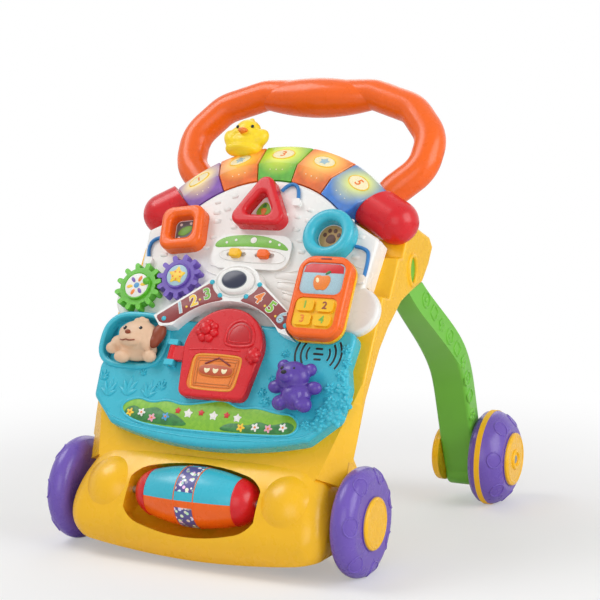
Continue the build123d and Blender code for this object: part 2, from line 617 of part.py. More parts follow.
# Roof trim: two sloping bands and the attic surround, standing out of the panel.
with BuildPart() as roof_trim:
    with BuildSketch(PANEL) as roof:
        with BuildLine():
            ThreePointArc((-58, 127), (1, 156), (60, 127))
            Polyline((60, 127), (74, 123), (84, 134), (25, 181), (-23, 181))
            Polyline((-23, 181), (-82, 136), (-72, 125), (-58, 127))
        make_face()
        with Locations(ATTIC_AT):
            Ellipse(25, 19)
    extrude(amount=14)
    with BuildSketch(PANEL.offset(UPPER_FACE)):
        with BuildLine():
            ThreePointArc((-40, 144), (1, 158), (42, 144))
            Polyline((42, 144), (60, 150), (25, 179), (-23, 179), (-58, 150), (-40, 144))
        make_face()
    extrude(amount=-UPPER_FACE)
    with BuildSketch(PANEL):
        with Locations(PHONE_AT):
            RectangleRounded(60, 89, radius=18)
    extrude(amount=20, mode=Mode.SUBTRACT)
    with BuildSketch(PANEL.offset(4)):
        with Locations(ATTIC_AT):
            Ellipse(20 + FIT, 14.5 + FIT)
    extrude(amount=20, mode=Mode.SUBTRACT)
save(roof_trim, "roof_trim")

with BuildPart() as attic_button:
    with BuildSketch(PANEL.offset(8)):
        with Locations(ATTIC_AT):
            Ellipse(20, 14.5)
    extrude(amount=11)
    fillet(attic_button.faces().sort_by(OUTWARD)[-1].edges(), radius=3)
save(attic_button, "attic_button")

# Slide switches on the switch plate, each with a stem in its slot.
def slide_switch(place, node):
    """Write one switch knob whose stem runs in the slot at the given place."""
    with BuildPart() as knob:
        with BuildSketch(PANEL.offset(UPPER_FACE + 4 + FIT)):
            with Locations(place):
                RectangleRounded(12, 9, radius=3)
        extrude(amount=6)
        fillet(knob.faces().sort_by(OUTWARD)[-1].edges(), radius=1.5)
        with BuildSketch(PANEL.offset(UPPER_FACE + 4 + FIT)):
            with Locations(place):
                Rectangle(8, 4.4)
        extrude(amount=-3)
    save(knob, node)


slide_switch(POWER_AT, "power_switch")
slide_switch(VOLUME_AT, "volume_switch")


# Meshed gears on posts, with round-ended teeth and a raised boss.
def gear(centre, teeth, start_angle, node):
    """Write one gear; its first tooth points along start_angle."""
    pitch_radius = GEAR_MODULE * teeth / 2
    with BuildPart() as wheel:
        with BuildSketch(PANEL.offset(UPPER_FACE + FIT)):
            with Locations(centre):
                Circle(pitch_radius - 3.6)
                with PolarLocations(pitch_radius - 3.0, teeth, start_angle=start_angle):
                    SlotOverall(11.4, 5.2)
        extrude(amount=10)
        with BuildSketch(PANEL.offset(UPPER_FACE + FIT + 10)):
            with Locations(centre):
                Circle(pitch_radius * 0.62)
        extrude(amount=2)
        with BuildSketch(PANEL.offset(UPPER_FACE)):
            with Locations(centre):
                Circle(GEAR_POST + TURN)
        extrude(amount=9 + FIT, mode=Mode.SUBTRACT)
    save(wheel, node)


gear((GREEN_U, GREEN_V), GREEN_TEETH, MESH_ANGLE, "gear_green")
gear((PURPLE_U, PURPLE_V), PURPLE_TEETH, MESH_ANGLE + 180 + 180 / PURPLE_TEETH, "gear_purple")

# Shape rings that lift off their bosses.
RING_HEIGHT = 16.0
with BuildPart() as square_ring:
    with BuildSketch(PANEL.offset(UPPER_FACE + FIT)):
        with Locations(Location((SQUARE_AT[0], SQUARE_AT[1], 0), 8)):
            RectangleRounded(48, 48, radius=12)
            RectangleRounded(25, 25, radius=6.5, mode=Mode.SUBTRACT)
    extrude(amount=RING_HEIGHT)
    fillet(square_ring.faces().sort_by(OUTWARD)[-1].edges(), radius=5)
save(square_ring, "square_ring")

with BuildPart() as triangle_ring:
    with BuildSketch(PANEL.offset(UPPER_FACE + FIT)):
        with BuildLine():
            Polyline(*TRIANGLE_CORE, close=True)
        make_face()
        offset(amount=10)
    extrude(amount=RING_HEIGHT)
    with BuildSketch(PANEL.offset(UPPER_FACE)):
        with BuildLine():
            Polyline(*TRIANGLE_HOLE, close=True)
        make_face()
        offset(amount=5)
    extrude(amount=RING_HEIGHT + 2, mode=Mode.SUBTRACT)
    fillet(triangle_ring.faces().sort_by(OUTWARD)[-1].edges(), radius=4)
save(triangle_ring, "triangle_ring")

with BuildPart() as circle_ring:
    with BuildSketch(PANEL.offset(UPPER_FACE + FIT)):
        with Locations(CIRCLE_AT):
            Circle(27)
            Circle(14.5, mode=Mode.SUBTRACT)
    extrude(amount=RING_HEIGHT)
    fillet(circle_ring.faces().sort_by(OUTWARD)[-1].edges(), radius=5.5)
save(circle_ring, "circle_ring")


# Limp tethers lie on the panel from beside each ring to an anchor, bent as the runs of each route allow.
def bend_radii(route):
    """Radius of each bend: 0.45 of its shorter run over the tangent of half its turn."""
    runs = [Vector(*b) - Vector(*a) for a, b in zip(route, route[1:])]
    pairs = zip(runs, runs[1:])
    return [0.45 * min(a.length, b.length) / tan(radians(a.get_angle(b) / 2)) for a, b in pairs]


def tether(route, node):
    """Write one round cord along a route on the panel's face."""
    radii = bend_radii(route)
    print(node, "bend radii", [round(r, 1) for r in radii])
    with BuildPart() as cord:
        with BuildLine(PANEL.offset(UPPER_FACE + CORD_RADIUS)) as run:
            FilletPolyline(*route, radius=radii)
        with BuildSketch(Plane(origin=run.wire() @ 0, z_dir=run.wire() % 0)):
            Circle(CORD_RADIUS)
        sweep()
    print(node, "length", round(run.wire().length, 1))
    save(cord, node)


tether([(-108.9, 231), (-119.5, 229.5), (-124, 218.5), (-120.3, 207.8)], "square_tether")
tether([(13.9, 287.5), (20, 297), (33, 293.5), (34.5, 279.1)], "triangle_tether")
tether([(109.4, 229.3), (120, 228.2), (126.6, 220.2), (125.6, 198.7)], "circle_tether")

# Phone: a handset resting over the panel, with a keypad that presses in.
with BuildPart() as phone_back:
    with BuildSketch(PANEL.offset(FIT)):
        with Locations(PHONE_AT):
            RectangleRounded(58, 86, radius=17)
    extrude(amount=6)
    fillet(phone_back.faces().sort_by(OUTWARD)[0].edges(), radius=2.5)
save(phone_back, "phone_back")

with BuildPart() as phone_front:
    with BuildSketch(PANEL.offset(6 + FIT)):
        with Locations(PHONE_AT):
            RectangleRounded(57, 85, radius=16.5)
    extrude(amount=12)
    fillet(phone_front.faces().sort_by(OUTWARD)[-1].edges(), radius=4)
    with BuildSketch(PANEL.offset(18 + FIT)):
        with Locations((PHONE_AT[0], PHONE_AT[1] - 18)):
            RectangleRounded(44, 32, radius=7)
    extrude(amount=-5, mode=Mode.SUBTRACT)
    with BuildSketch(PANEL.offset(18 + FIT)):
        with Locations((PHONE_AT[0], PHONE_AT[1] + 18)):
            RectangleRounded(46, 34, radius=8)
    extrude(amount=-1.2, mode=Mode.SUBTRACT)
save(phone_front, "phone_front")

with BuildPart() as phone_keypad:
    with BuildSketch(PANEL.offset(15 + FIT)):
        with Locations((PHONE_AT[0], PHONE_AT[1] - 18)):
            RectangleRounded(43.4, 31.4, radius=6.7)
    extrude(amount=2)
    with BuildSketch(PANEL.offset(17 + FIT)):
        with Locations((PHONE_AT[0], PHONE_AT[1] - 18)):
            with GridLocations(20.5, 14.5, 2, 2):
                RectangleRounded(18, 12, radius=3.5)
    extrude(amount=2.5)
save(phone_keypad, "phone_keypad")

# Door: arched leaf on the left-hand pin, with an inset pane.
with BuildPart() as door:
    with BuildSketch(PANEL.offset(FIT)) as leaf:
        with BuildLine():
            Polyline((-42, 108), (-35, 57), (37, 57), (44, 108))
            ThreePointArc((44, 108), (1, 151), (-42, 108))
        make_face()
        fillet(leaf.vertices().group_by(Axis.Z)[0], radius=9)
    extrude(amount=9)
    fillet(door.faces().sort_by(OUTWARD)[-1].edges(), radius=2.5)
    with BuildSketch(PANEL.offset(9 + FIT)):
        with Locations((-1, 83)):
            RectangleRounded(55, 38, radius=9)
    extrude(amount=-3, mode=Mode.SUBTRACT)
    with Locations(on_panel((DOOR_PIN_U - 40) / 2, (DOOR_LOW + DOOR_HIGH) / 2, DOOR_PIN_W)):
        Box(-40 - DOOR_PIN_U, DOOR_HIGH - DOOR_LOW - FIT, 6)
    with Locations(HINGE):
        Cylinder(radius=4.5, height=DOOR_HIGH - DOOR_LOW - FIT)
        Cylinder(radius=DOOR_PIN_RADIUS + TURN, height=40, mode=Mode.SUBTRACT)
    with Locations(on_panel(36, 104, 9)):
        Sphere(6)
    with Locations(on_panel(-22, 128, 9)):
        Sphere(7)
save(door, "door")

with BuildPart() as door_pane:
    with BuildSketch(PANEL.offset(6 + FIT)):
        with Locations((-1, 83)):
            RectangleRounded(55, 38, radius=9)
    extrude(amount=2.2)
save(door_pane, "door_pane")

# Puppy: lies in its pocket and slides on a rail; one ear is a separate brown piece.
with BuildPart() as puppy:
    with BuildSketch(PANEL.offset(-9 + FIT)):
        with Locations((PUPPY_AT[0] + 3, PUPPY_AT[1] - 2)):
            Ellipse(25, 16)
    extrude(amount=13)
    fillet(puppy.faces().sort_by(OUTWARD)[-1].edges(), radius=5)
    with Locations(on_panel(PUPPY_AT[0] + 4, PUPPY_AT[1] + 3, 9.6)):
        Sphere(18)
    with Locations(on_panel(PUPPY_AT[0] + 1, PUPPY_AT[1] - 3, 25)):
        Sphere(6.5)
    for paw_u, paw_v in ((-18, -9), (18, -11)):
        with Locations(on_panel(PUPPY_AT[0] + paw_u, PUPPY_AT[1] + paw_v, 5)):
            Sphere(7.5)
    with BuildSketch(PANEL.offset(-13 + FIT)):
        with Locations((PUPPY_AT[0] + 5, PUPPY_AT[1])):
            Rectangle(18, 6)
    extrude(amount=6)
save(puppy, "puppy")

with BuildPart() as puppy_ear:
    with Locations(on_panel(PUPPY_AT[0] + 22, PUPPY_AT[1] + 6, 9)):
        Sphere(9)
    add(puppy.part, mode=Mode.SUBTRACT)
save(puppy_ear, "puppy_ear")

# Bear: a flat-backed figure that spins on the tray's post.
with BuildPart() as bear:
    with BuildSketch(PANEL.offset(FIT)):
        with Locations((89, 68)):
            Ellipse(16, 14)
        with Locations((84, 84)):
            Circle(15.5)
        with Locations((71, 94), (95, 97)):
            Circle(6.5)
        with Locations((72, 67), (106, 73), (79, 56), (100, 58)):
            Circle(7.5)
    extrude(amount=13)
    with Locations(on_panel(84, 84, 11)):
        Sphere(11)
    with Locations(on_panel(91, 66, 10)):
        Sphere(10)
    with BuildSketch(PANEL):
        with Locations(BEAR_AT):
            Circle(AXLE_RADIUS + TURN)
    extrude(amount=10 + FIT, mode=Mode.SUBTRACT)
save(bear, "bear")

# Key arch: bed, five keys cut from one ring, shoulder caps and the chick on the second key.
with BuildPart() as key_bed:
    with BuildSketch(ARCH):
        with BuildLine():
            Polyline((104, BED_BACK), (160, BED_BACK), (160, BED_BACK + 3.6), (116, BED_BACK + 3.6))
            Polyline((116, BED_BACK + 3.6), (116, UPPER_BACK), (104, UPPER_BACK), (104, BED_BACK))
        make_face()
    revolve(axis=ARCH_AXIS, revolution_arc=5 * KEY_PITCH)
with BuildPart() as key_bed_centred:
    add(key_bed.part.rotate(ARCH_AXIS, -2.5 * KEY_PITCH))
save(key_bed_centred, "key_bed")

with BuildPart() as key_blank:
    with BuildSketch(ARCH) as key_section:
        with BuildLine():
            Polyline((KEY_INNER, KEY_BACK), (KEY_INNER, -9), (137, -7), (165, -24), (KEY_OUTER, KEY_BACK))
            Line((KEY_OUTER, KEY_BACK), (KEY_INNER, KEY_BACK))
        make_face()
        fillet(key_section.vertices().sort_by(OUTWARD)[-3:], radius=5)
    revolve(axis=ARCH_AXIS, revolution_arc=KEY_SPAN)
    key_ends = key_blank.faces().filter_by(GeomType.PLANE).sort_by(OUTWARD)[1:]
    fillet(key_ends.edges().sort_by(OUTWARD)[2:], radius=KEY_EDGE)
keys = []
for number in range(1, 6):
    with BuildPart() as key:
        add(key_blank.part.rotate(ARCH_AXIS, (3 - number) * KEY_PITCH - KEY_SPAN / 2))
    save(key, f"key_{number}")
    keys.append(key)

CAP_RADIUS = 22.5
CAP_RUN = (-cos(radians(30)), 0.5 * UP[1], 0.5 * UP[2])
with BuildPart() as cap:
    with Locations(on_panel(134, 270, -33)):
        Sphere(CAP_RADIUS)
    with BuildSketch(Plane(origin=PANEL.from_local_coords((134, 270, -33)), z_dir=CAP_RUN)):
        Circle(CAP_RADIUS)
    extrude(amount=62)
    with BuildSketch(PANEL.offset(-41)):
        with Locations((120, 270)):
            Rectangle(160, 160)
    extrude(amount=-40, mode=Mode.SUBTRACT)
    with BuildSketch(PANEL.offset(-60)):
        with BuildLine():
            Polyline((0, ARCH_V), (140, ARCH_V + 129.5), (140, ARCH_V + 200), (0, ARCH_V + 200), close=True)
        make_face()
    extrude(amount=80, mode=Mode.SUBTRACT)
save_pair(cap, "cap")

with BuildPart() as chick:
    with Locations(on_panel(CHICK_AT[0], CHICK_AT[1], CHICK_W)):
        Sphere(18.5)
    with Locations(on_panel(CHICK_AT[0] - 6, CHICK_AT[1] + 21, CHICK_W + 2)):
        Sphere(14)
    with Locations(on_panel(CHICK_AT[0] - 8, CHICK_AT[1] + 18, CHICK_W + 12)):
        Cone(bottom_radius=4.5, top_radius=1, height=10)
    for wing_u, wing_v in ((16, 5), (-17, 3)):
        with Locations(on_panel(CHICK_AT[0] + wing_u, CHICK_AT[1] + wing_v, CHICK_W)):
            Sphere(8)
    add(keys[1].part, mode=Mode.SUBTRACT)
save(chick, "chick")
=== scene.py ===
from math import atan2, cos, hypot, pi, radians, sin

import bmesh
import bpy
from mathutils import Matrix, Vector


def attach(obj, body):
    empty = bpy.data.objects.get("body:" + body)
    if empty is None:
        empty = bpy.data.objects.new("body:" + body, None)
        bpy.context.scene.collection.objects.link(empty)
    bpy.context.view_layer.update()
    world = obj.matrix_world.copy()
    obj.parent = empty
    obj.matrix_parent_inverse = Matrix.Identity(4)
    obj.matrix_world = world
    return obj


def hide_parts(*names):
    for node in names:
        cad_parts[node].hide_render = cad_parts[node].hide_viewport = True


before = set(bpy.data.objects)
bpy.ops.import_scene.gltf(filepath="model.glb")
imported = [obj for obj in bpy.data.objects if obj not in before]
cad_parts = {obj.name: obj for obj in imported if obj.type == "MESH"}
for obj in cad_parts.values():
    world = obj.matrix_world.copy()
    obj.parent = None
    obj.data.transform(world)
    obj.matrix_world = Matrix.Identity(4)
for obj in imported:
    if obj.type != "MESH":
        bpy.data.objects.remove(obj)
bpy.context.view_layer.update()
scene = bpy.context.scene

# Sizes are in millimetres. PART takes (x, y, z) of the part to metres. PANEL takes (u to the right, v up the
# lean, w out of the face) to metres in the part's frame.
MM = 0.001
LEAN = radians(30.0)
PANEL_FOOT = Vector((0.0, -187.2, 105.0))
UP = Vector((0.0, sin(LEAN), cos(LEAN)))
OUT = Vector((0.0, -cos(LEAN), sin(LEAN)))
PART = Matrix.Scale(MM, 4)
PANEL = PART @ Matrix((
    (1.0, 0.0, 0.0, PANEL_FOOT.x),
    (0.0, UP.y, OUT.y, PANEL_FOOT.y),
    (0.0, UP.z, OUT.z, PANEL_FOOT.z),
    (0.0, 0.0, 0.0, 1.0),
))
FRONT_AXLE = Vector((0.0, -153.0, 52.0))
REAR_AXLE = Vector((0.0, 163.0, 52.0))
ROLLER_AXIS = Vector((0.0, -187.0, 66.0))
SIDES = ((1, "right"), (-1, "left"))

# Levels of the panel's faces, as w.
TRAY_FACE = 0.0
UPPER_FACE = -8.0
PLATE_FACE = -4.0
BOSS_FACE = -5.0
TRIM_FACE = 14.0
ATTIC_FACE = 19.0
GEAR_FACE = 4.3
SCREEN_FACE = 17.1
PHONE_FACE = 18.0
KEYPAD_FACE = 19.8
DOOR_FACE = 9.3
PANE_FACE = 8.5
SHELL_BACK = -46.0
BATTERY_DOOR_BACK = -48.0
SCREW_BACK = -48.2

# Places on the panel, (u, v).
SQUARE_AT = (-84.0, 238.5)
CIRCLE_AT = (82.0, 237.5)
GREEN_GEAR_AT = (-118.0, 171.0)
PURPLE_GEAR_AT = (-74.01, 184.45)
PHONE_AT = (94.5, 165.5)
SCREEN_AT = (94.5, 183.5)
KEYPAD_AT = (94.5, 147.5)
ATTIC_AT = (1.0, 177.0)
FLOWER_AT = (-19.5, 125.0)
KNOB_AT = (37.8, 102.4)
SPEAKER_AT = (100.0, 113.0)
ARCH_V = 184.0
KEY_PITCH = 18.8

# How a print lies: the rounding of its edge, and how far a ground print is let into its face.
PRINT_EDGE = 0.2
DOT_EDGE = 0.1
PRINT_SINK = 0.2


# Materials

NOISE_SPAN = (0.3, 0.7)


def paint(colour, factor=1.0):
    """A colour in display values from 0 to 255 as the shader's linear one, made darker or lighter."""
    def channel(value):
        value /= 255.0
        return value / 12.92 if value <= 0.04045 else ((value + 0.055) / 1.055) ** 2.4
    return tuple(min(1.0, channel(value) * factor) for value in colour) + (1.0,)


class Tree:
    """The node tree of a material or a world, with short calls to add and join nodes."""

    def __init__(self, owner):
        owner.use_nodes = True
        self.nodes = owner.node_tree.nodes
        self.links = owner.node_tree.links

    def fill(self, node, inputs):
        """Give each input of a node its value, or join it to another node's output."""
        for key, value in inputs.items():
            if hasattr(value, "is_linked"):
                self.links.new(value, node.inputs[key])
            else:
                node.inputs[key].default_value = value

    def add(self, kind, inputs=None, **settings):
        node = self.nodes.new("ShaderNode" + kind)
        for key, value in settings.items():
            setattr(node, key, value)
        self.fill(node, inputs or {})
        return node

    def ranged(self, value, low, high, to_low, to_high, **settings):
        inputs = {"Value": value, "From Min": low, "From Max": high, "To Min": to_low, "To Max": to_high}
        return self.add("MapRange", inputs, **settings).outputs["Result"]

    def maths(self, operation, first, second):
        return self.add("Math", {0: first, 1: second}, operation=operation).outputs[0]


class Look(Tree):
    """A material with its shader and the patterns that feed it."""

    def __init__(self, name):
        self.material = bpy.data.materials.new(name)
        super().__init__(self.material)
        self.place = self.add("TexCoord").outputs["Object"]

    def noise(self, scale, detail=2.0, stretch=None):
        place = self.place
        if stretch:
            place = self.add("Mapping", {"Scale": stretch, "Vector": place}).outputs["Vector"]
        inputs = {"Scale": scale, "Detail": detail, "Vector": place}
        return self.add("TexNoise", inputs).outputs["Fac"]

    def cloud(self, scale, detail, low=0.0, high=1.0):
        """Noise spread over the values from low to high."""
        return self.ranged(self.noise(scale, detail), *NOISE_SPAN, low, high)

    def mix(self, factor, first, second):
        inputs = {0: factor, 6: first, 7: second}
        return self.add("Mix", inputs, data_type="RGBA").outputs[2]

    def bump(self, height, strength, distance):
        inputs = {"Strength": strength, "Distance": distance, "Height": height}
        return self.add("Bump", inputs).outputs["Normal"]

    def finish(self, inputs):
        """Feed the shader and return the material."""
        self.fill(self.nodes["Principled BSDF"], inputs)
        return self.material


def moulded(name, colour, roughness=0.27, drift=0.03, grain=0.07, coat=0.1):
    """Moulded plastic: slow drift of tone, lighter along sharp convex edges, an uneven polish and a fine
    mould texture.
    """
    look = Look(name)
    body = look.mix(look.cloud(22.0, 3.0), paint(colour, 1.0 - drift), paint(colour, 1.0 + drift))
    edges = look.add("NewGeometry").outputs["Pointiness"]
    return look.finish({
        "Base Color": look.mix(look.ranged(edges, 0.52, 0.62, 0.0, 0.35), body, paint(colour, 1.25)),
        "Roughness": look.cloud(75.0, 4.0, roughness - 0.05, roughness + 0.07),
        "Specular IOR Level": 0.35,
        "Coat Weight": coat,
        "Coat Roughness": 0.12,
        "Normal": look.bump(look.noise(900.0, 3.0), grain, 0.0002),
    })


def printed(name, colour, second=None):
    """A satin printed label: ink with a faint press grain, or two inks in soft patches."""
    look = Look(name)
    patches = look.ranged(look.noise(240.0 if second else 900.0), 0.45, 0.55, 0.0, 1.0)
    other = paint(second) if second else paint(colour, 0.9)
    return look.finish({
        "Base Color": look.mix(patches, paint(colour), other),
        "Roughness": look.cloud(120.0, 2.0, 0.34, 0.46),
        "Normal": look.bump(look.noise(1500.0, 1.0), 0.05, 0.0001),
    })


def confetti(name, colour):
    """A printed strip of small many-coloured dots on a dark ground."""
    look = Look(name)
    cells = look.add("TexVoronoi", {"Scale": 230.0, "Vector": look.place}).outputs
    inputs = {"Saturation": 0.42, "Value": 1.15, "Color": cells["Color"]}
    hues = look.add("HueSaturation", inputs).outputs["Color"]
    dots = look.ranged(cells["Distance"], 0.40, 0.46, 1.0, 0.0)
    return look.finish({"Base Color": look.mix(dots, paint(colour), hues), "Roughness": 0.38})


def lit_plastic(name, colour, glow, centre):
    """Translucent key plastic with a painted glow as if lit from inside: a painted pale warm pool of light at
    the key's middle that fades to the key's colour, and a faint emission though no lamp is in it.
    """
    look = Look(name)
    away = look.add("VectorMath", {0: look.place, 1: centre}, operation="DISTANCE").outputs["Value"]
    core = look.ranged(away, 0.008, 0.030, 1.0, 0.0)
    cloudy = look.mix(look.cloud(140.0, 3.0), paint(colour, 0.82), paint(colour, 1.12))
    lit = look.mix(core, cloudy, paint(glow))
    return look.finish({
        # The base and emission colours carry the painted glow: the key glows though it holds no lamp.
        "Base Color": lit,
        "Emission Color": lit,
        "Emission Strength": look.ranged(core, 0.0, 1.0, 0.08, 0.32),
        "Roughness": look.cloud(90.0, 3.0, 0.16, 0.28),
        "Coat Weight": 0.4,
        "Normal": look.bump(look.noise(420.0), 0.08, 0.0003),
    })


def brushed(name, colour):
    """Drawn steel rod with fine lines along its length."""
    look = Look(name)
    lines = look.noise(260.0, stretch=(0.05, 8.0, 8.0))
    return look.finish({
        "Base Color": look.mix(lines, paint(colour, 0.8), paint(colour, 1.1)),
        "Roughness": look.ranged(lines, *NOISE_SPAN, 0.25, 0.45),
        "Metallic": 1.0,
    })


def soft_cord(name, colour):
    """Limp vinyl cord, faintly mottled and rough."""
    look = Look(name)
    return look.finish({
        "Base Color": look.mix(look.noise(160.0), paint(colour, 0.8), paint(colour, 1.15)),
        "Roughness": 0.42,
        "Normal": look.bump(look.noise(700.0), 0.2, 0.0002),
    })


YELLOW = moulded("yellow_plastic", (246, 188, 28))
ORANGE = moulded("orange_plastic", (244, 102, 18))
RED = moulded("red_plastic", (212, 26, 36))
DEEP_RED = moulded("deep_red_plastic", (186, 16, 26))
PURPLE = moulded("purple_plastic", (110, 84, 178))
DEEP_PURPLE = moulded("deep_purple_plastic", (88, 62, 158))
GREEN = moulded("green_plastic", (112, 188, 62), roughness=0.34)
LEAF = moulded("leaf_green_plastic", (98, 186, 50))
CYAN = moulded("cyan_plastic", (60, 184, 206))
# A darker cyan used as painted shade on the floor of the puppy's pocket.
POCKET_SHADE_CYAN = moulded("cyan_painted_shade", (34, 128, 150))
WHITE = moulded("white_plastic", (238, 236, 232), drift=0.02)
NAVY = moulded("navy_plastic", (44, 48, 70), roughness=0.2)
BEIGE = moulded("beige_plastic", (226, 190, 158), roughness=0.42, coat=0.0)
BROWN = moulded("brown_plastic", (136, 62, 36), roughness=0.42, coat=0.0)
CHICK_YELLOW = moulded("chick_yellow_plastic", (250, 216, 40), roughness=0.36)
BAND = moulded("band_rubber", (244, 184, 30), roughness=0.6, grain=0.3, coat=0.0)
GREY = moulded("grey_plastic", (150, 150, 152), roughness=0.45, coat=0.0)
BLACK = moulded("black_plastic", (22, 24, 28), roughness=0.4, coat=0.0)
BOARD = moulded("board_laminate", (24, 92, 48), roughness=0.5, coat=0.0)
CELL = moulded("battery_sleeve", (40, 42, 46), roughness=0.3)
STEEL = brushed("drawn_steel", (176, 178, 182))
CORD = soft_cord("blue_cord_vinyl", (32, 120, 188))

INK_MAROON = printed("ink_maroon", (136, 44, 44))
INK_WHITE = printed("ink_white", (242, 240, 234))
INK_YELLOW = printed("ink_yellow", (248, 208, 60))
INK_GREEN = printed("ink_green", (120, 184, 64))
INK_LIME = printed("ink_lime", (134, 190, 50), (122, 182, 46))
INK_FOREST = printed("ink_forest", (48, 128, 56), (36, 108, 48))
INK_BLUE = printed("ink_blue", (84, 160, 210))
INK_PALE_BLUE = printed("ink_pale_blue", (168, 200, 212))
INK_ORANGE = printed("ink_orange", (240, 130, 40))
INK_RED = printed("ink_red", (210, 40, 46))
INK_PURPLE = printed("ink_purple", (120, 92, 176))
INK_TAN = printed("ink_tan", (196, 150, 92))
INK_BROWN = printed("ink_brown", (96, 52, 34))
INK_SLATE = printed("ink_slate", (104, 112, 120))
INK_PALE = printed("ink_pale_lamp", (252, 240, 196))
INK_AMBER = printed("ink_amber", (240, 158, 48))
INK_TOFFEE = printed("ink_toffee", (206, 116, 40))
INK_RUST = printed("ink_rust", (188, 78, 34))
INK_PINK = printed("ink_pink", (236, 170, 186))
CONFETTI = confetti("confetti_strip", (84, 80, 148))

NODE_MATERIALS = {
    YELLOW: ["front_frame", "base_plate", "axle_caps", "front_hub_left", "front_hub_right", "rear_hub_left",
             "rear_hub_right", "phone_back", "phone_keypad", "power_switch"],
    ORANGE: ["handle", "square_ring", "phone_front", "volume_switch", "roller_lower"],
    RED: ["cap_left", "cap_right", "triangle_ring", "door", "roller_ends"],
    PURPLE: ["front_wheel_left", "front_wheel_right", "rear_wheel_left", "rear_wheel_right", "gear_purple"],
    DEEP_PURPLE: ["bear"],
    GREEN: ["leg_left", "leg_right", "leg_tab_left", "leg_tab_right"],
    LEAF: ["gear_green"],
    CYAN: ["tray", "circle_ring", "roller_upper"],
    WHITE: ["attic_button", "upper_panel", "panel_back", "battery_door", "roof_trim"],
    BEIGE: ["puppy"],
    BROWN: ["puppy_ear"],
    CHICK_YELLOW: ["chick"],
    BAND: ["rear_band_left", "rear_band_right"],
    GREY: ["key_bed"],
    BLACK: ["speaker"],
    BOARD: ["circuit_board"],
    CELL: ["batteries"],
    STEEL: ["steel_pins", "screws"],
    CORD: ["square_tether", "triangle_tether", "circle_tether"],
    INK_ORANGE: ["door_pane"],
}

# The body that a moulded detail rides on, and its material.
ON_PANEL = ("frame", WHITE)
ON_TRAY = ("frame", CYAN)
ON_LEG = ("frame", GREEN)
ON_DOOR = ("door", RED)


def dress(node, material):
    """Give a node of the frame its material."""
    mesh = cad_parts[node].data
    mesh.materials.clear()
    mesh.materials.append(material)


for node_material, node_names in NODE_MATERIALS.items():
    for node_name in node_names:
        dress(node_name, node_material)


# Outlines on a flat face, as lists of (u, v)

def placed(points, u, v, turn=0.0):
    """The points turned by an angle in degrees and moved to (u, v)."""
    t = radians(turn)
    return [(u + x * cos(t) - y * sin(t), v + x * sin(t) + y * cos(t)) for x, y in points]


def oval(u, v, across, up, count=36, turn=0.0):
    """Points of an ellipse with the given half sizes."""
    ring = [(across * cos(2 * pi * i / count), up * sin(2 * pi * i / count)) for i in range(count)]
    return placed(ring, u, v, turn)


def disc(u, v, radius, count=36):
    """Points of a circle."""
    return oval(u, v, radius, radius, count)


def lobed(u, v, across, up, lobes, depth, phase, count):
    """Points of an ellipse whose edge swells into lobes."""
    points = []
    for i in range(count):
        a = 2 * pi * i / count
        swell = 1 + depth * cos(lobes * a + phase)
        points.append((u + across * swell * cos(a), v + up * swell * sin(a)))
    return points


def rounded(u, v, width, height, radius, turn=0.0, steps=6):
    """Points of a rectangle with rounded corners."""
    points = []
    for corner in range(4):
        x = (width / 2 - radius) * (1 if corner in (0, 3) else -1)
        y = (height / 2 - radius) * (1 if corner in (0, 1) else -1)
        for step in range(steps + 1):
            a = pi / 2 * (corner + step / steps)
            points.append((x + radius * cos(a), y + radius * sin(a)))
    return placed(points, u, v, turn)


def soften(points, rounds=2):
    """A closed outline with its corners cut round."""
    for _ in range(rounds):
        cut = []
        for (a, b), (c, d) in zip(points, points[1:] + points[:1]):
            cut += [(0.75 * a + 0.25 * c, 0.75 * b + 0.25 * d), (0.25 * a + 0.75 * c, 0.25 * b + 0.75 * d)]
        points = cut
    return points


def star(u, v, outer, inner):
    """Points of a five-armed star with its corners cut round."""
    angles = [radians(90.0 + 36.0 * i) for i in range(10)]
    sizes = (outer, inner) * 5
    return soften([(u + size * cos(a), v + size * sin(a)) for size, a in zip(sizes, angles)], 1)


def arc_band(u, v, radius, start, sweep, width, steps=24):
    """Outline of a band along an arc."""
    angles = [radians(start + sweep * i / steps) for i in range(steps + 1)]
    outer, inner = radius + width / 2, radius - width / 2
    return ([(u + outer * cos(a), v + outer * sin(a)) for a in angles]
            + [(u + inner * cos(a), v + inner * sin(a)) for a in reversed(angles)])


def spaced(u, v, radius, count, start):
    """Places at equal steps round a circle, each as (u, v, angle in degrees)."""
    angles = [360 / count * i + start for i in range(count)]
    return [(u + radius * cos(radians(a)), v + radius * sin(radians(a)), a) for a in angles]


def area(points):
    """Signed area, positive when the outline runs anticlockwise."""
    return sum(a * d - b * c for (a, b), (c, d) in zip(points, points[1:] + points[:1])) / 2


def anticlockwise(points):
    """The outline in the order that faces outward."""
    return points if area(points) > 0 else points[::-1]


def inset(points, amount):
    """The outline moved inward along its own corners."""
    moved = []
    amount = amount if area(points) > 0 else -amount
    for (a, b), (c, d), (e, f) in zip(points[-1:] + points[:-1], points, points[1:] + points[:1]):
        x, y = b - f, e - a
        length = hypot(x, y) or 1.0
        moved.append((c + amount * x / length, d + amount * y / length))
    return moved


# Meshes

def show(name, mesh, body, material, crease=40.0):
    """Link a mesh as a piece that rides on a body."""
    mesh.materials.clear()
    mesh.materials.append(material)
    mesh.shade_smooth()
    mesh.set_sharp_from_angle(angle=radians(crease))
    piece = bpy.data.objects.new(name, mesh)
    scene.collection.objects.link(piece)
    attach(piece, body)
    return piece


def settled(bm, name, place):
    """The mesh of a finished bmesh, moved to its place."""
    mesh = bpy.data.meshes.new(name)
    bm.to_mesh(mesh)
    bm.free()
    mesh.transform(place)
    return mesh


def band(bm, lower, upper):
    """Faces between two loops of equal count."""
    for i in range(len(lower)):
        j = (i + 1) % len(lower)
        bm.faces.new((lower[i], lower[j], upper[j], upper[i]))


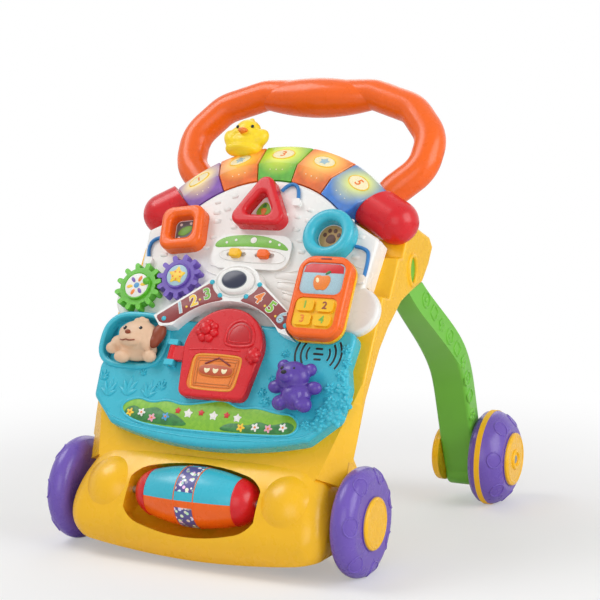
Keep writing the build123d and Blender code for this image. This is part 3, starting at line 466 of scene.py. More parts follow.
def stack(name, loops, body, material, place=PANEL, crease=40.0, peak=None):
    """A closed skin through loops of equal count, lowest first, capped flat or drawn to a peak."""
    bm = bmesh.new()
    rows = [[bm.verts.new(point) for point in loop] for loop in loops]
    for lower, upper in zip(rows, rows[1:]):
        band(bm, lower, upper)
    bm.faces.new(rows[0][::-1])
    if peak is None:
        bm.faces.new(rows[-1])
    else:
        top = bm.verts.new(peak)
        for first, second in zip(rows[-1], rows[-1][1:] + rows[-1][:1]):
            bm.faces.new((first, second, top))
    return show(name, settled(bm, name, place), body, material, crease)


def plate(name, outline, low, high, body, material, edge=0.4, place=PANEL):
    """A flat piece with a rounded upper edge."""
    points = anticlockwise(outline)
    loops = [[(u, v, low) for u, v in points]]
    for step in range(4):
        a = pi / 2 * step / 3
        ring = inset(points, edge * (1 - cos(a)))
        loops.append([(u, v, high - edge * (1 - sin(a))) for u, v in ring])
    return stack(name, loops, body, material, place)


def decal(name, outline, face, rise, body, ink, edge=PRINT_EDGE, sink=0.0):
    """A thin printed shape that rises from a face."""
    return plate(name, outline, face - sink, face + rise, body, ink, edge)


def ground(name, outline, face, rise, body, ink):
    """A print that lies under others and is let into its face."""
    return decal(name, outline, face, rise, body, ink, sink=PRINT_SINK)


def pillow(name, outline, low, rise, body, material, layers=5):
    """A low swelling that follows an outline."""
    points = anticlockwise(outline)
    mid_u = sum(p[0] for p in points) / len(points)
    mid_v = sum(p[1] for p in points) / len(points)
    loops = []
    for layer in range(layers):
        a = pi / 2 * layer / layers
        loops.append([(mid_u + (u - mid_u) * cos(a), mid_v + (v - mid_v) * cos(a), low + rise * sin(a))
                      for u, v in points])
    return stack(name, loops, body, material, crease=70.0, peak=(mid_u, mid_v, low + rise))


def collar(name, outline, wide, low, high, body, material):
    """A rounded wall that stands round an outline."""
    bm = bmesh.new()
    section = [(0.0, low), (0.0, high - 1.6), (0.5, high - 0.5), (wide * 0.35, high), (wide * 0.65, high),
               (wide - 0.7, high - 0.6), (wide, high - 2.0), (wide, low)]
    loops = [[bm.verts.new((u, v, level)) for u, v in inset(outline, -grow)] for grow, level in section]
    for first, second in zip(loops, loops[1:] + loops[:1]):
        band(bm, first, second)
    bmesh.ops.recalc_face_normals(bm, faces=bm.faces)
    return show(name, settled(bm, name, PANEL), body, material, crease=50.0)


def evaluated(curve):
    """The mesh of a curve or a text, which is then removed."""
    holder = bpy.data.objects.new(curve.name + "_holder", curve)
    mesh = bpy.data.meshes.new_from_object(holder)
    bpy.data.objects.remove(holder)
    bpy.data.curves.remove(curve)
    return mesh


def curve_mesh(name, points, radius=0.0, closed=False, kind="NURBS", fineness=6):
    """The mesh of a round tube along guiding points, or of the bare line when it has no radius."""
    curve = bpy.data.curves.new(name, "CURVE")
    curve.dimensions = "3D"
    curve.bevel_depth = radius
    curve.bevel_resolution = 3
    curve.use_fill_caps = True
    curve.resolution_u = fineness
    spline = curve.splines.new(kind)
    spline.points.add(len(points) - 1)
    for spot, point in zip(spline.points, points):
        spot.co = (*point, 1.0)
    spline.use_cyclic_u = closed
    if kind == "NURBS":
        spline.order_u = 3
        spline.use_endpoint_u = not closed
    return evaluated(curve)


def tube(name, points, radius, body, material, place=PANEL, closed=False, kind="NURBS"):
    """A round bead along points."""
    mesh = curve_mesh(name, points, radius, closed, kind)
    mesh.transform(place)
    return show(name, mesh, body, material, crease=60.0)


def line(name, points, level, radius, body, material, kind="NURBS"):
    """A round bead along an open line on a face."""
    return tube(name, [(u, v, level) for u, v in points], radius, body, material, kind=kind)


def rim(name, outline, level, radius, body, material, place=PANEL):
    """A round bead along a closed outline on a face."""
    return tube(name, [(u, v, level) for u, v in outline], radius, body, material, place, closed=True)


def blob(name, lumps, body, material, level=0.0, voxel=0.9, floor=None, rounds=8):
    """One moulded figure grown together from ellipsoids (u, v, w from a level, half sizes, turn about w)."""
    bm = bmesh.new()
    for u, v, w, across, up, deep, *turn in lumps:
        spin = Matrix.Rotation(radians(turn[0] if turn else 0.0), 4, "Z")
        size = Matrix.Diagonal((across, up, deep, 1.0))
        bmesh.ops.create_icosphere(bm, subdivisions=3, radius=1.0,
                                   matrix=Matrix.Translation((u, v, level + w)) @ spin @ size)
    rough = bpy.data.meshes.new(name + "_rough")
    bm.to_mesh(rough)
    bm.free()
    holder = bpy.data.objects.new(name + "_rough", rough)
    scene.collection.objects.link(holder)
    remesh = holder.modifiers.new("grow", "REMESH")
    remesh.mode = "VOXEL"
    remesh.voxel_size = voxel
    relax = holder.modifiers.new("relax", "SMOOTH")
    relax.factor = 0.5
    relax.iterations = rounds
    bpy.context.view_layer.update()
    grown = holder.evaluated_get(bpy.context.evaluated_depsgraph_get())
    mesh = bpy.data.meshes.new_from_object(grown)
    bpy.data.objects.remove(holder)
    if floor is not None:
        for vertex in mesh.vertices:
            vertex.co.z = max(vertex.co.z, floor)
    mesh.transform(PANEL)
    return show(name, mesh, body, material, crease=80.0)


def ball(name, at, half, body, material, place=PANEL):
    """A small smooth bead, given its half sizes."""
    bm = bmesh.new()
    bmesh.ops.create_uvsphere(bm, u_segments=20, v_segments=12, radius=1.0,
                              matrix=Matrix.Translation(at) @ Matrix.Diagonal((*half, 1.0)))
    return show(name, settled(bm, name, place), body, material, crease=80.0)


def figure(name, text, at, size, body, material, turn=0.0, place=PANEL, swell=0.0):
    """A numeral lying on a face."""
    font = bpy.data.curves.new(name, "FONT")
    font.body = text
    font.size = size
    font.extrude = 0.25
    font.offset = swell
    font.align_x = "CENTER"
    font.align_y = "CENTER"
    mesh = evaluated(font)
    mesh.transform(place @ Matrix.Translation(at) @ Matrix.Rotation(radians(turn), 4, "Z"))
    return show(name, mesh, body, material)


# Tethers: limp cords that lie on the panel from each ring to its anchor

CORD_RADIUS = 1.9
TETHERS = {
    "square_tether": [(-108.9, 231.0), (-119.5, 229.5), (-124.0, 218.5), (-120.3, 207.8)],
    "triangle_tether": [(13.9, 287.5), (20.0, 297.0), (33.0, 293.5), (34.5, 279.1)],
    "circle_tether": [(109.4, 229.3), (120.0, 228.2), (126.6, 220.2), (125.6, 198.7)],
}
for tether_name, route in TETHERS.items():
    guide = [(u, v, UPPER_FACE + CORD_RADIUS) for u, v in route]
    course = [vertex.co.copy() for vertex in curve_mesh(tether_name + "_line", guide, fineness=16).vertices]
    cord = tube(tether_name + "_cord", course, CORD_RADIUS, "frame", CORD, kind="POLY")
    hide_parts(tether_name)


# White upper panel: ring windows, brick and plank relief, switch label

BOSS = (BOSS_FACE, 0.7, "frame")
BOSS_GROUND = (BOSS_FACE, 0.3, "frame")
CARROT_ROOT = soften([(-4, 267), (4, 267), (2, 261), (0, 257.5), (-2, 261)])
PAW_PAD = soften([(76, 233), (82, 230), (88, 233), (86, 239), (82, 241), (78, 239)])
LEAF_SHAPE = soften([(-94, 234), (-88, 243), (-77, 245), (-78, 238), (-85, 232)])
ground("square_window", rounded(*SQUARE_AT, 22, 22, 5, 8), *BOSS_GROUND, INK_SLATE)
decal("square_window_leaf", LEAF_SHAPE, *BOSS, INK_GREEN)
for number, (u, v) in enumerate([(-91, 245), (-77, 232), (-90, 230), (-80, 247)]):
    decal(f"square_window_dot_{number}", disc(u, v, 1.6, 16), BOSS_FACE, 0.6, "frame", INK_WHITE, DOT_EDGE)
ground("triangle_window", soften([(-12, 258), (12, 258), (0, 279)]), *BOSS_GROUND, INK_LIME)
decal("triangle_window_root", CARROT_ROOT, *BOSS, INK_ORANGE)
decal("triangle_window_tuft", soften([(-3, 268), (0, 274), (3, 268)]), *BOSS, INK_FOREST)
ground("circle_window", disc(*CIRCLE_AT, 13), *BOSS_GROUND, INK_TAN)
decal("circle_window_pad", PAW_PAD, *BOSS, INK_BROWN)
for number, (u, v) in enumerate([(74.5, 240), (79, 244.5), (85, 244.5), (89.5, 240)]):
    decal(f"circle_window_toe_{number}", oval(u, v, 2.0, 2.4, 18), *BOSS, INK_BROWN)

# Each brick and board is (u, v, width, height, turn).
BRICKS = [
    (-55, 262, 9, 5, 8), (-44, 266, 8, 4.5, 8), (-52, 252, 9, 5, 6), (-39, 281, 8, 4.5, 14),
    (-57, 274, 8, 4.5, 16), (-35, 256, 8, 4.5, 4), (-31, 246, 8, 4.5, 4), (40, 246, 9, 5, -6),
    (51, 256, 9, 5, -10), (50, 268, 8, 4.5, -14), (38, 260, 8, 4.5, -10), (112, 241, 9, 5, -8),
    (111, 219, 9, 5, -4), (52, 222, 8, 5, -4), (-57, 222, 8, 4.5, 6), (-52, 234, 8, 4.5, 6),
    (-104, 212, 9, 5, 6), (-106, 254, 8, 4.5, 20), (97, 258, 8, 4.5, -20), (63, 266, 8, 4.5, -16),
    (47, 234, 8, 4.5, -4), (57, 244, 8, 4.5, -6), (116, 228, 7, 4.5, -6), (24, 250, 8, 4.5, -2),
    (-22, 286, 8, 4.5, 6), (24, 262, 7, 4.5, -6),
]
PLANKS = [
    [(-46, 203), (-20, 200), (-2, 201)], [(24, 199), (40, 197), (58, 203)], [(34, 188), (50, 190), (60, 186)],
    [(42, 178), (54, 174), (62, 176)], [(112, 210), (120, 206), (126, 208)],
    [(-50, 178), (-38, 170), (-30, 172)], [(-48, 196), (-36, 191), (-28, 192)],
    [(-104, 150), (-92, 146), (-84, 148)], [(-46, 164), (-52, 156), (-64, 152)],
]
BOARDS = [
    (43, 195, 30, 9, -6), (46, 183, 26, 8, -12), (51, 171.5, 18, 7, -18), (-40, 184, 22, 8, 14),
    (-47, 172.5, 15, 7, 22), (114, 200, 16, 7, -10),
]
# Each kind of block: its corners' radius and steps, how far it is sunk and how high it swells.
BLOCKS = [("brick", BRICKS, 2, 3, 0.3, 1.8), ("board", BOARDS, 3, 4, 0.4, 1.5)]
for kind, blocks, corner, steps, sink, rise in BLOCKS:
    for number, (u, v, width, height, turn) in enumerate(blocks):
        outline = rounded(u, v, width, height, corner, turn, steps)
        pillow(f"panel_{kind}_{number}", outline, UPPER_FACE - sink, rise, *ON_PANEL)
for number, plank in enumerate(PLANKS):
    line(f"panel_plank_{number}", plank, UPPER_FACE + 0.1, 0.9, *ON_PANEL)

SWITCH_ARC = soften([(-45, 221), (-44, 228), (-33, 234), (-13, 236.4), (11, 235.6), (31, 229), (40, 221.5),
                     (36, 220.5), (24, 222.6), (-8, 223.8), (-32, 222)])
SWITCH_SPOTS = [(-32, 227, 1.4), (-22, 230, 1.4), (-2, 230.5, 3.4), (17, 229.5, 1.4), (28, 226.5, 1.4)]
SWITCH_LEDGE = soften([(-38, 213), (-33, 219.5), (-9, 221.5), (26, 220.6), (38.5, 214), (36, 206),
                       (-3, 206.5), (-30, 208)])
ground("switch_label", SWITCH_ARC, PLATE_FACE, 0.4, "frame", INK_GREEN)
for number, (u, v, size) in enumerate(SWITCH_SPOTS):
    decal(f"switch_label_spot_{number}", disc(u, v, size, 20), PLATE_FACE, 0.8, "frame", INK_WHITE)
rim("switch_ledge", SWITCH_LEDGE, PLATE_FACE, 0.9, *ON_PANEL)

# Roof trim: printed bands with numbers, beads at the joints, and the attic button's face

# The edge that both bands share, mirrored about the attic's middle for the right one.
BAND_EDGE = [(-59, 129.3), (-50, 136.9), (-40, 144.7), (-30, 150), (-20, 153.8), (-9, 156.4), (-10, 159),
             (-17.7, 163), (-23, 168.3), (-25.1, 174), (-28, 174), (-50, 157.3)]
BANDS = {
    "left": [(-79, 135), (-72, 127.8), *BAND_EDGE, (-74, 139)],
    "right": [(70, 138), (67, 131.5), *((2 * ATTIC_AT[0] - u, v) for u, v in BAND_EDGE), (66, 147)],
}
for side_name, outline in BANDS.items():
    ground(f"roof_band_{side_name}", soften(outline, 1), TRIM_FACE, 0.4, "frame", INK_MAROON)
DIGIT_SIZE = 16.5
DIGITS = [
    ("1", -53.5, 145.0, 24, INK_PALE_BLUE), ("2", -40.5, 153.6, 24, INK_YELLOW),
    ("3", -27.5, 161.6, 24, INK_GREEN), ("4", 30.5, 161.0, -26, INK_ORANGE),
    ("5", 46.0, 151.6, -28, INK_LIME), ("6", 59.5, 141.5, -28, INK_PALE_BLUE),
]
for text, u, v, turn, ink in DIGITS:
    name = f"roof_digit_{text}"
    figure(f"{name}_border", text, (u, v, TRIM_FACE + 0.5), DIGIT_SIZE, "frame", INK_WHITE, turn, swell=1.0)
    figure(name, text, (u, v, TRIM_FACE + 0.8), DIGIT_SIZE, "frame", ink, turn, swell=0.35)
for number, (u, v) in enumerate([(-47, 147), (-34, 155.5), (39, 153), (53, 143)]):
    decal(f"roof_spot_{number}", disc(u, v, 1.2, 14), TRIM_FACE, 0.7, "frame", INK_YELLOW, DOT_EDGE)
ROOF_BEADS = [(-69, 133), (-25.5, 175), (-13, 161.4), (16, 161.6), (27.5, 175), (66, 134)]
for number, (u, v) in enumerate(ROOF_BEADS):
    ball(f"roof_bead_{number}", (u, v, TRIM_FACE + 0.3), (2.6, 2.6, 1.6), *ON_TRAY)
rim("attic_rim", oval(*ATTIC_AT, 22.6, 16.8), TRIM_FACE, 0.9, *ON_PANEL)
ATTIC_OVAL = oval(*ATTIC_AT, 13.4, 9.4)
plate("attic_button_face", ATTIC_OVAL, ATTIC_FACE - 0.3, ATTIC_FACE + 0.4, "attic_button", NAVY, 0.3)
rim("attic_button_line", ATTIC_OVAL, ATTIC_FACE, 0.5, "attic_button", INK_SLATE)

# Gears: label discs, star and finger knob

GREEN_GEAR = (GEAR_FACE, 0.8, "gear_green")
PETAL_INKS = (INK_YELLOW, INK_ORANGE, INK_PURPLE)
ground("green_gear_label", disc(*GREEN_GEAR_AT, 13.2), GEAR_FACE, 0.4, "gear_green", INK_WHITE)
for number, (u, v, turn) in enumerate(spaced(*GREEN_GEAR_AT, 7.8, 6, 12)):
    decal(f"green_gear_petal_{number}", oval(u, v, 3.4, 1.8, 20, turn), *GREEN_GEAR, PETAL_INKS[number % 3])
decal("green_gear_centre", disc(*GREEN_GEAR_AT, 3.0, 20), *GREEN_GEAR, INK_BLUE)
ball("green_gear_knob", (GREEN_GEAR_AT[0] + 10.5, GREEN_GEAR_AT[1] + 5.0, GEAR_FACE - 1), (4.2, 4.2, 6.0),
     "gear_green", LEAF)
rim("green_gear_bead", disc(*GREEN_GEAR_AT, 14.4), GEAR_FACE, 0.7, "gear_green", LEAF)
ground("purple_gear_label", disc(*PURPLE_GEAR_AT, 11.6), GEAR_FACE, 0.4, "gear_purple", INK_PALE_BLUE)
decal("purple_gear_star", star(*PURPLE_GEAR_AT, 11.0, 5.4), GEAR_FACE, 0.9, "gear_purple", INK_YELLOW)
for number, (u, v, _) in enumerate(spaced(*PURPLE_GEAR_AT, 4.4, 5, 126)):
    decal(f"purple_gear_spot_{number}", disc(u, v, 1.0, 12), GEAR_FACE, 1.2, "gear_purple", INK_ORANGE,
          DOT_EDGE)
rim("purple_gear_bead", disc(*PURPLE_GEAR_AT, 12.9), GEAR_FACE, 0.7, "gear_purple", PURPLE)

# Phone: screen with an apple, numbered keys and an ear slot

SCREEN = (SCREEN_FACE, 0.9, "phone")
HEADER = placed([(-21, 6), (21, 6), (20, 13), (15, 15.4), (-15, 15.4), (-20, 13)], *SCREEN_AT)
APPLE = soften([(-9, 0), (-6, 4), (0, 2.4), (6, 4), (9.4, 0), (8, -8), (4, -12.5), (0, -11.4), (-4, -12.5),
                (-8, -8)])
APPLE_LEAF = soften([(1, 3), (5, 9), (9, 7)])
KEY_INKS = [(-10.25, 7.25, INK_GREEN), (10.25, 7.25, INK_MAROON), (-10.25, -7.25, INK_ORANGE),
            (10.25, -7.25, INK_GREEN)]
decal("phone_screen", rounded(*SCREEN_AT, 44.5, 32.5, 7.5), SCREEN_FACE, 0.3, "phone", INK_PALE_BLUE,
      sink=0.3)
decal("phone_header", HEADER, SCREEN_FACE, 0.5, "phone", INK_RED, DOT_EDGE)
decal("phone_apple", placed(APPLE, *SCREEN_AT), *SCREEN, INK_ORANGE, 0.3)
decal("phone_apple_leaf", placed(APPLE_LEAF, *SCREEN_AT), *SCREEN, INK_FOREST)
decal("phone_apple_shine", placed(oval(-4.4, -2, 1.6, 2.8, 18, 20), *SCREEN_AT), SCREEN_FACE, 1.2, "phone",
      INK_PALE)
rim("phone_screen_rim", rounded(*SCREEN_AT, 46.5, 34.5, 8), SCREEN_FACE + 1.1, 0.6, "phone", ORANGE)
for number, (u, v, ink) in enumerate(KEY_INKS, 1):
    at = (KEYPAD_AT[0] + u, KEYPAD_AT[1] + v, KEYPAD_FACE + 0.1)
    figure(f"phone_digit_{number}", str(number), at, 10.5, "phone_keypad", ink, swell=0.12)
EAR_SLOT = rounded(PHONE_AT[0], PHONE_AT[1] + 38.4, 12, 1.6, 0.8, steps=3)
decal("phone_ear_slot", EAR_SLOT, PHONE_FACE, 0.5, "phone", INK_MAROON, DOT_EDGE)

# Door: window, flower, crease, knob, and the pane with its hanging sign

WINDOW = soften([(4, 110.5), (33, 111.5), (33.5, 119), (31, 129.5), (22, 137.5), (12, 138), (3.5, 131),
                 (1.5, 121)], 1)
decal("door_window", WINDOW, DOOR_FACE, 0.3, "door", DEEP_RED, sink=0.3)
rim("door_window_rim", WINDOW, DOOR_FACE, 1.5, *ON_DOOR)
rim("door_window_line", inset(WINDOW, 4.2), DOOR_FACE + 0.2, 0.6, *ON_DOOR)
for number, (u, v, _) in enumerate(spaced(*FLOWER_AT, 8.0, 7, 90)):
    ball(f"door_flower_petal_{number}", (u, v, DOOR_FACE), (4.6, 4.6, 4.4), *ON_DOOR)
ball("door_flower_centre", (-20.5, 126.2, DOOR_FACE), (6.4, 6.4, 7.4), *ON_DOOR)
line("door_crease", [(-34, 104.5), (-16, 106.6), (4, 107), (22, 106.4)], DOOR_FACE, 0.9, *ON_DOOR)
for number, (u, v, _) in enumerate(spaced(*KNOB_AT, 5.4, 6, 20)):
    ball(f"door_knob_petal_{number}", (u, v, DOOR_FACE + 0.6), (3.4, 3.4, 4.4), *ON_DOOR)
ball("door_knob", (37.6, 102.6, DOOR_FACE + 0.6), (7.2, 7.2, 7.0), *ON_DOOR)
PANE_EDGE = soften([(-27, 97), (-22, 101), (22, 101), (27, 97), (24, 68), (20, 65), (-20, 65), (-24, 68)], 1)
SIGN = soften([(-20, 84.5), (-15, 91.5), (17, 91), (22, 84.5), (17, 78), (-14, 78)])
HEART = soften([(-3.4, 87.0), (0, 85.6), (3.4, 87.0), (2.6, 83.2), (0, 81.0), (-2.6, 83.2)])
rim("door_pane_rim", PANE_EDGE, PANE_FACE, 1.2, "door", INK_AMBER)
for number, margin in enumerate((3.2, 6.0)):
    rim(f"door_pane_line_{number}", inset(PANE_EDGE, margin), PANE_FACE, 0.6, "door", INK_TOFFEE)
decal("door_sign", SIGN, PANE_FACE, 1.2, "door", INK_TOFFEE, 0.5, PRINT_SINK)
decal("door_sign_face", inset(SIGN, 1.4), PANE_FACE + 1.0, 0.5, "door", INK_RUST)
for number, u in enumerate((-8.5, 1, 10.5)):
    decal(f"door_sign_heart_{number}", placed(HEART, u, 0.0), PANE_FACE + 1.4, 0.6, "door", INK_PALE)
line("door_sign_hanger", [(-13, 91.2), (1, 98), (15, 91)], PANE_FACE + 0.4, 0.9, "door", INK_MAROON,
     kind="POLY")

# Lower tray: the puppy's pocket, speaker, grass and bush relief, label strip

POCKET = soften([(-139.5, 112), (-138, 127), (-127, 137), (-106, 138), (-84, 137), (-71.5, 127), (-69.5, 110),
                 (-73, 95), (-86, 88.5), (-106, 88), (-126, 89), (-137.5, 97)])
POCKET_FLOOR = TRAY_FACE - 10.0
collar("pocket_collar", POCKET, 6.0, POCKET_FLOOR, TRAY_FACE + 2.6, *ON_TRAY)
# The pocket's floor is a darker cyan than the tray: painted shade in the recess.
decal("pocket_floor", inset(POCKET, 0.2), POCKET_FLOOR, 0.8, "frame", POCKET_SHADE_CYAN, DOT_EDGE)

# Speaker slots are (radius, half sweep, width) of arcs on both sides, and (lift, width) of bars between them.
SLOT = (TRAY_FACE, 0.15, "frame", BLACK, DOT_EDGE, 0.4)
for number, (radius, reach, width) in enumerate([(12.0, 34, 2.2), (18.0, 38, 2.4), (24.0, 36, 2.4)]):
    for side_name, middle in (("right", 0), ("left", 180)):
        arc = (*SPEAKER_AT, radius, middle - reach, 2 * reach)
        decal(f"speaker_slot_{number}_{side_name}", arc_band(*arc, width), *SLOT)
        rim(f"speaker_lip_{number}_{side_name}", arc_band(*arc, width + 0.8), TRAY_FACE - 0.1, 0.6, *ON_TRAY)
for number, (lift, width) in enumerate([(5.4, 8.0), (0.0, 11.0), (-5.4, 8.0)]):
    bar = rounded(SPEAKER_AT[0], SPEAKER_AT[1] + lift, width, 2.2, 1.1, steps=4)
    decal(f"speaker_bar_{number}", bar, *SLOT)

# Tufts of grass are (u, v, scale), a tuft's blades (lean, length, bend) and bushes (u, v, half sizes).
RELIEF_LOW = TRAY_FACE - 0.4
GRASS = [(-119, 52, 1.0), (-97, 54, 1.12), (-73, 54, 1.0), (-129, 68, 0.62), (-60, 63, 0.6), (-85, 76, 0.45)]
BLADES = [(-42, 15.0, -3.0), (-20, 20.0, -1.6), (3, 23.0, 1.0), (25, 20.0, 1.8), (46, 14.0, 3.0)]
BUSH = [
    (131, 52, 10, 9), (116, 44, 9, 7), (139, 66, 7, 8), (124, 66, 8, 7), (133, 80, 7.5, 7), (120, 80, 6, 6),
    (129, 94, 6, 6.5), (104, 42, 6, 5), (117, 56, 6, 5.5), (128, 120, 5, 5), (66, 111, 4.5, 4),
    (57, 61, 6, 5), (51, 70, 4.5, 5), (59, 84, 4.5, 4.5), (131, 107, 5, 5),
]
for number, (u, v, scale) in enumerate(GRASS):
    half = 2.7 * scale
    for leaf, (lean, length, bend) in enumerate(BLADES):
        tall = length * scale
        blade = soften([(-half * 0.4, 0.0), (-half, tall * 0.45), (bend * scale * 0.6, tall),
                        (half, tall * 0.5), (half * 0.6, 0.0)])
        rise = 2.2 + 0.25 * (leaf % 2)
        pillow(f"tray_grass_{number}_{leaf}", placed(blade, u, v, -lean), RELIEF_LOW, rise, *ON_TRAY)
for number, (u, v, across, up) in enumerate(BUSH):
    pillow(f"tray_bush_{number}", lobed(u, v, across, up, 6, 0.2, number, 48), RELIEF_LOW, 2.4, *ON_TRAY)
    for bump in range(5):
        a = radians(72 * bump + 40 * number)
        at = (u + 0.5 * across * cos(a), v + 0.5 * up * sin(a), TRAY_FACE + 1.2)
        ball(f"tray_bush_{number}_bump_{bump}", at, (0.28 * across, 0.28 * up, 1.9), *ON_TRAY)

LABEL = soften([
    (-98.5, 38), (-97.5, 47.7), (-81.6, 54.5), (-66, 49.5), (-48.7, 54.6), (-31, 50.0), (-9, 54.4),
    (14, 59.6), (31, 51.6), (50, 55), (73, 50.4), (88, 51), (98, 42), (95, 32.5), (85.6, 28.7), (57, 27),
    (11, 25), (-45, 25), (-79.7, 28.4),
])
LABEL_BUSHES = {
    "left": [(-94, 33), (-93, 42), (-83, 45.5), (-75, 41), (-66, 44), (-57, 45.5), (-48, 40), (-38, 40.5),
             (-28, 36), (-18, 29), (-50, 27.6), (-80, 30.4)],
    "right": [(12, 27.4), (22, 36), (33, 37), (44, 35), (55, 41), (65, 38.4), (74, 39), (84, 43.4), (94, 40),
              (92, 33), (84, 30.4), (57, 28.8)],
}
FLOWERS = [
    (-74, 38.5, INK_WHITE), (-61, 34, INK_PINK), (-46, 36.5, INK_BLUE), (38, 33, INK_YELLOW),
    (53, 34.5, INK_WHITE), (67, 34.6, INK_PINK), (82, 37, INK_WHITE), (-87, 37.5, INK_YELLOW),
]
STARS = [(-34, 2.0), (-22, 2.8), (-8, 2.0), (6, 2.8), (20, 2.0), (32, 2.6)]
STEP = soften([(-120, 42), (-104, 27), (-56, 20.5), (0, 18.5), (56, 20.5), (104, 27), (120, 42), (112, 34),
               (90, 27.5), (57, 24.6), (0, 23), (-57, 24.6), (-90, 27.5), (-112, 34)])
ground("label_strip", LABEL, TRAY_FACE, 0.4, "frame", INK_LIME)
rim("label_edge", LABEL, TRAY_FACE, 1.4, *ON_TRAY)
for side_name, outline in LABEL_BUSHES.items():
    decal(f"label_bush_{side_name}", soften(outline), TRAY_FACE, 0.7, "frame", INK_FOREST)
for number, (u, v, ink) in enumerate(FLOWERS):
    decal(f"label_flower_{number}", lobed(u, v, 3.5, 3.5, 5, 0.3, 0.0, 40), TRAY_FACE, 1.0, "frame", ink)
    decal(f"label_flower_eye_{number}", disc(u, v, 1.1, 12), TRAY_FACE, 1.3, "frame", INK_ORANGE, DOT_EDGE)
for number, (u, size) in enumerate(STARS):
    outline = star(u, 43 + size * 0.4 * (-1) ** number, 2 * size, size)
    decal(f"label_star_{number}", outline, TRAY_FACE, 0.9, "frame", (INK_RED, INK_WHITE)[number % 2])
rim("tray_step", STEP, TRAY_FACE - 0.2, 0.7, *ON_TRAY)

# Puppy, bear and chick

puppy = blob("puppy_figure", [
    (-96, 114.5, 8, 22, 16.5, 15), (-98, 107.5, 19, 12.5, 8, 7), (-96, 130.5, 10, 4.5, 4.5, 4),
    (-98, 102, 3, 24, 12, 9), (-118, 106, 8, 8, 8, 6), (-121.5, 99.5, 10, 7, 6, 6),
    (-108, 91.5, 9.5, 9, 6.5, 6), (-77, 94, 9.5, 7.5, 6.5, 6), (-84, 108, 11, 9, 9, 8),
    (-115, 119, 5, 7, 8, 5), (-91, 129.5, 10, 3.6, 4, 3.4, -30), (-101, 129.5, 10, 3.6, 4, 3.4, 30),
], "puppy", BEIGE)
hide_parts("puppy")
EAR_LUMPS = [(-73, 117, 10, 7.5, 12, 6, -14), (-75, 109, 11, 6, 7, 5)]
puppy_ear = blob("puppy_ear_figure", EAR_LUMPS, "puppy", BROWN)
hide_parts("puppy_ear")
for side_name, u, v, w in (("left", -105.8, 117.8, 21.0), ("right", -88.4, 118.6, 20.6)):
    ball(f"puppy_eye_{side_name}", (u, v, w), (2.2, 2.2, 1.4), "puppy", BLACK)
    ball(f"puppy_eye_{side_name}_shine", (u - 0.6, v + 0.7, w + 1.2), (0.6, 0.6, 0.4), "puppy", INK_WHITE)
ball("puppy_nose", (-98.6, 112.2, 25.6), (3.2, 2.3, 2.0), "puppy", BROWN)
MOUTH = [(-106.5, 104.6, 22.6), (-102, 102.8, 25.0), (-98.4, 104.4, 26.0), (-94.6, 102.8, 25.8),
         (-89.5, 105, 23.6)]
tube("puppy_mouth", MOUTH, 0.7, "puppy", BROWN)

bear = blob("bear_figure", [
    (86, 84, 13, 17, 15, 12.5), (84, 80, 24, 7.5, 6, 5), (72.5, 95, 10, 6.5, 6.5, 5),
    (101, 93, 10, 6.5, 6.5, 5), (92, 67, 10, 15.5, 15, 10), (70, 73, 11, 8, 6.5, 6),
    (109.5, 75, 11, 8, 6.5, 6), (78.5, 57.5, 12, 8, 7.5, 7), (103.5, 57.5, 12, 8, 7.5, 7),
    (91, 65, 15, 11, 11, 8), (81, 56, 17, 5, 5, 4), (101, 56, 17, 5, 5, 4),
], "bear", DEEP_PURPLE, floor=0.3)
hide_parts("bear")
for side_name, u in (("left", 78.5), ("right", 90.5)):
    ball(f"bear_eye_{side_name}", (u, 88, 23.2), (2.0, 2.0, 1.3), "bear", BLACK)
ball("bear_nose", (83.6, 82.4, 28.4), (3.0, 2.1, 1.6), "bear", BLACK)
for side_name, u, v in (("left", 72.3, 95.2), ("right", 101.2, 93.2)):
    ball(f"bear_ear_{side_name}", (u, v, 13.4), (3.2, 3.2, 1.6), "bear", PURPLE)

# The chick's lumps are given from its own level.
CHICK_W = -22.0
CHICK = [
    (-51, 350, 0, 19, 14, 15), (-51.5, 362.5, 2, 15, 14.5, 13), (-64.5, 351, 5, 9, 14, 9, 42),
    (-38, 354.5, 2, 9.5, 14, 9, -46), (-51, 341, 2, 18, 6, 14), (-51, 377.5, 1, 3.2, 3.2, 3),
    (-42, 344, 0, 10, 6, 10), (-64, 342, 2, 8, 6, 10), (-60, 358, 5, 9, 9, 9), (-43, 359, 4, 9, 9, 9),
]
BEAK = [(-50.6, 358.6, 14.8, 5.8, 2.8, 4), (-50.6, 357.0, 16, 3.8, 2.3, 4)]
chick = blob("chick_figure", CHICK, "key_2", CHICK_YELLOW, CHICK_W, rounds=12)
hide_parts("chick")
blob("chick_beak", BEAK, "key_2", INK_ORANGE, CHICK_W, voxel=0.5, rounds=4)
for side_name, u, v, w in (("left", -58.4, 363.2, 13.8), ("right", -42.0, 364.6, 12.2)):
    ball(f"chick_eye_{side_name}", (u, v, CHICK_W + w), (1.7, 1.9, 1.4), "key_2", BLACK)
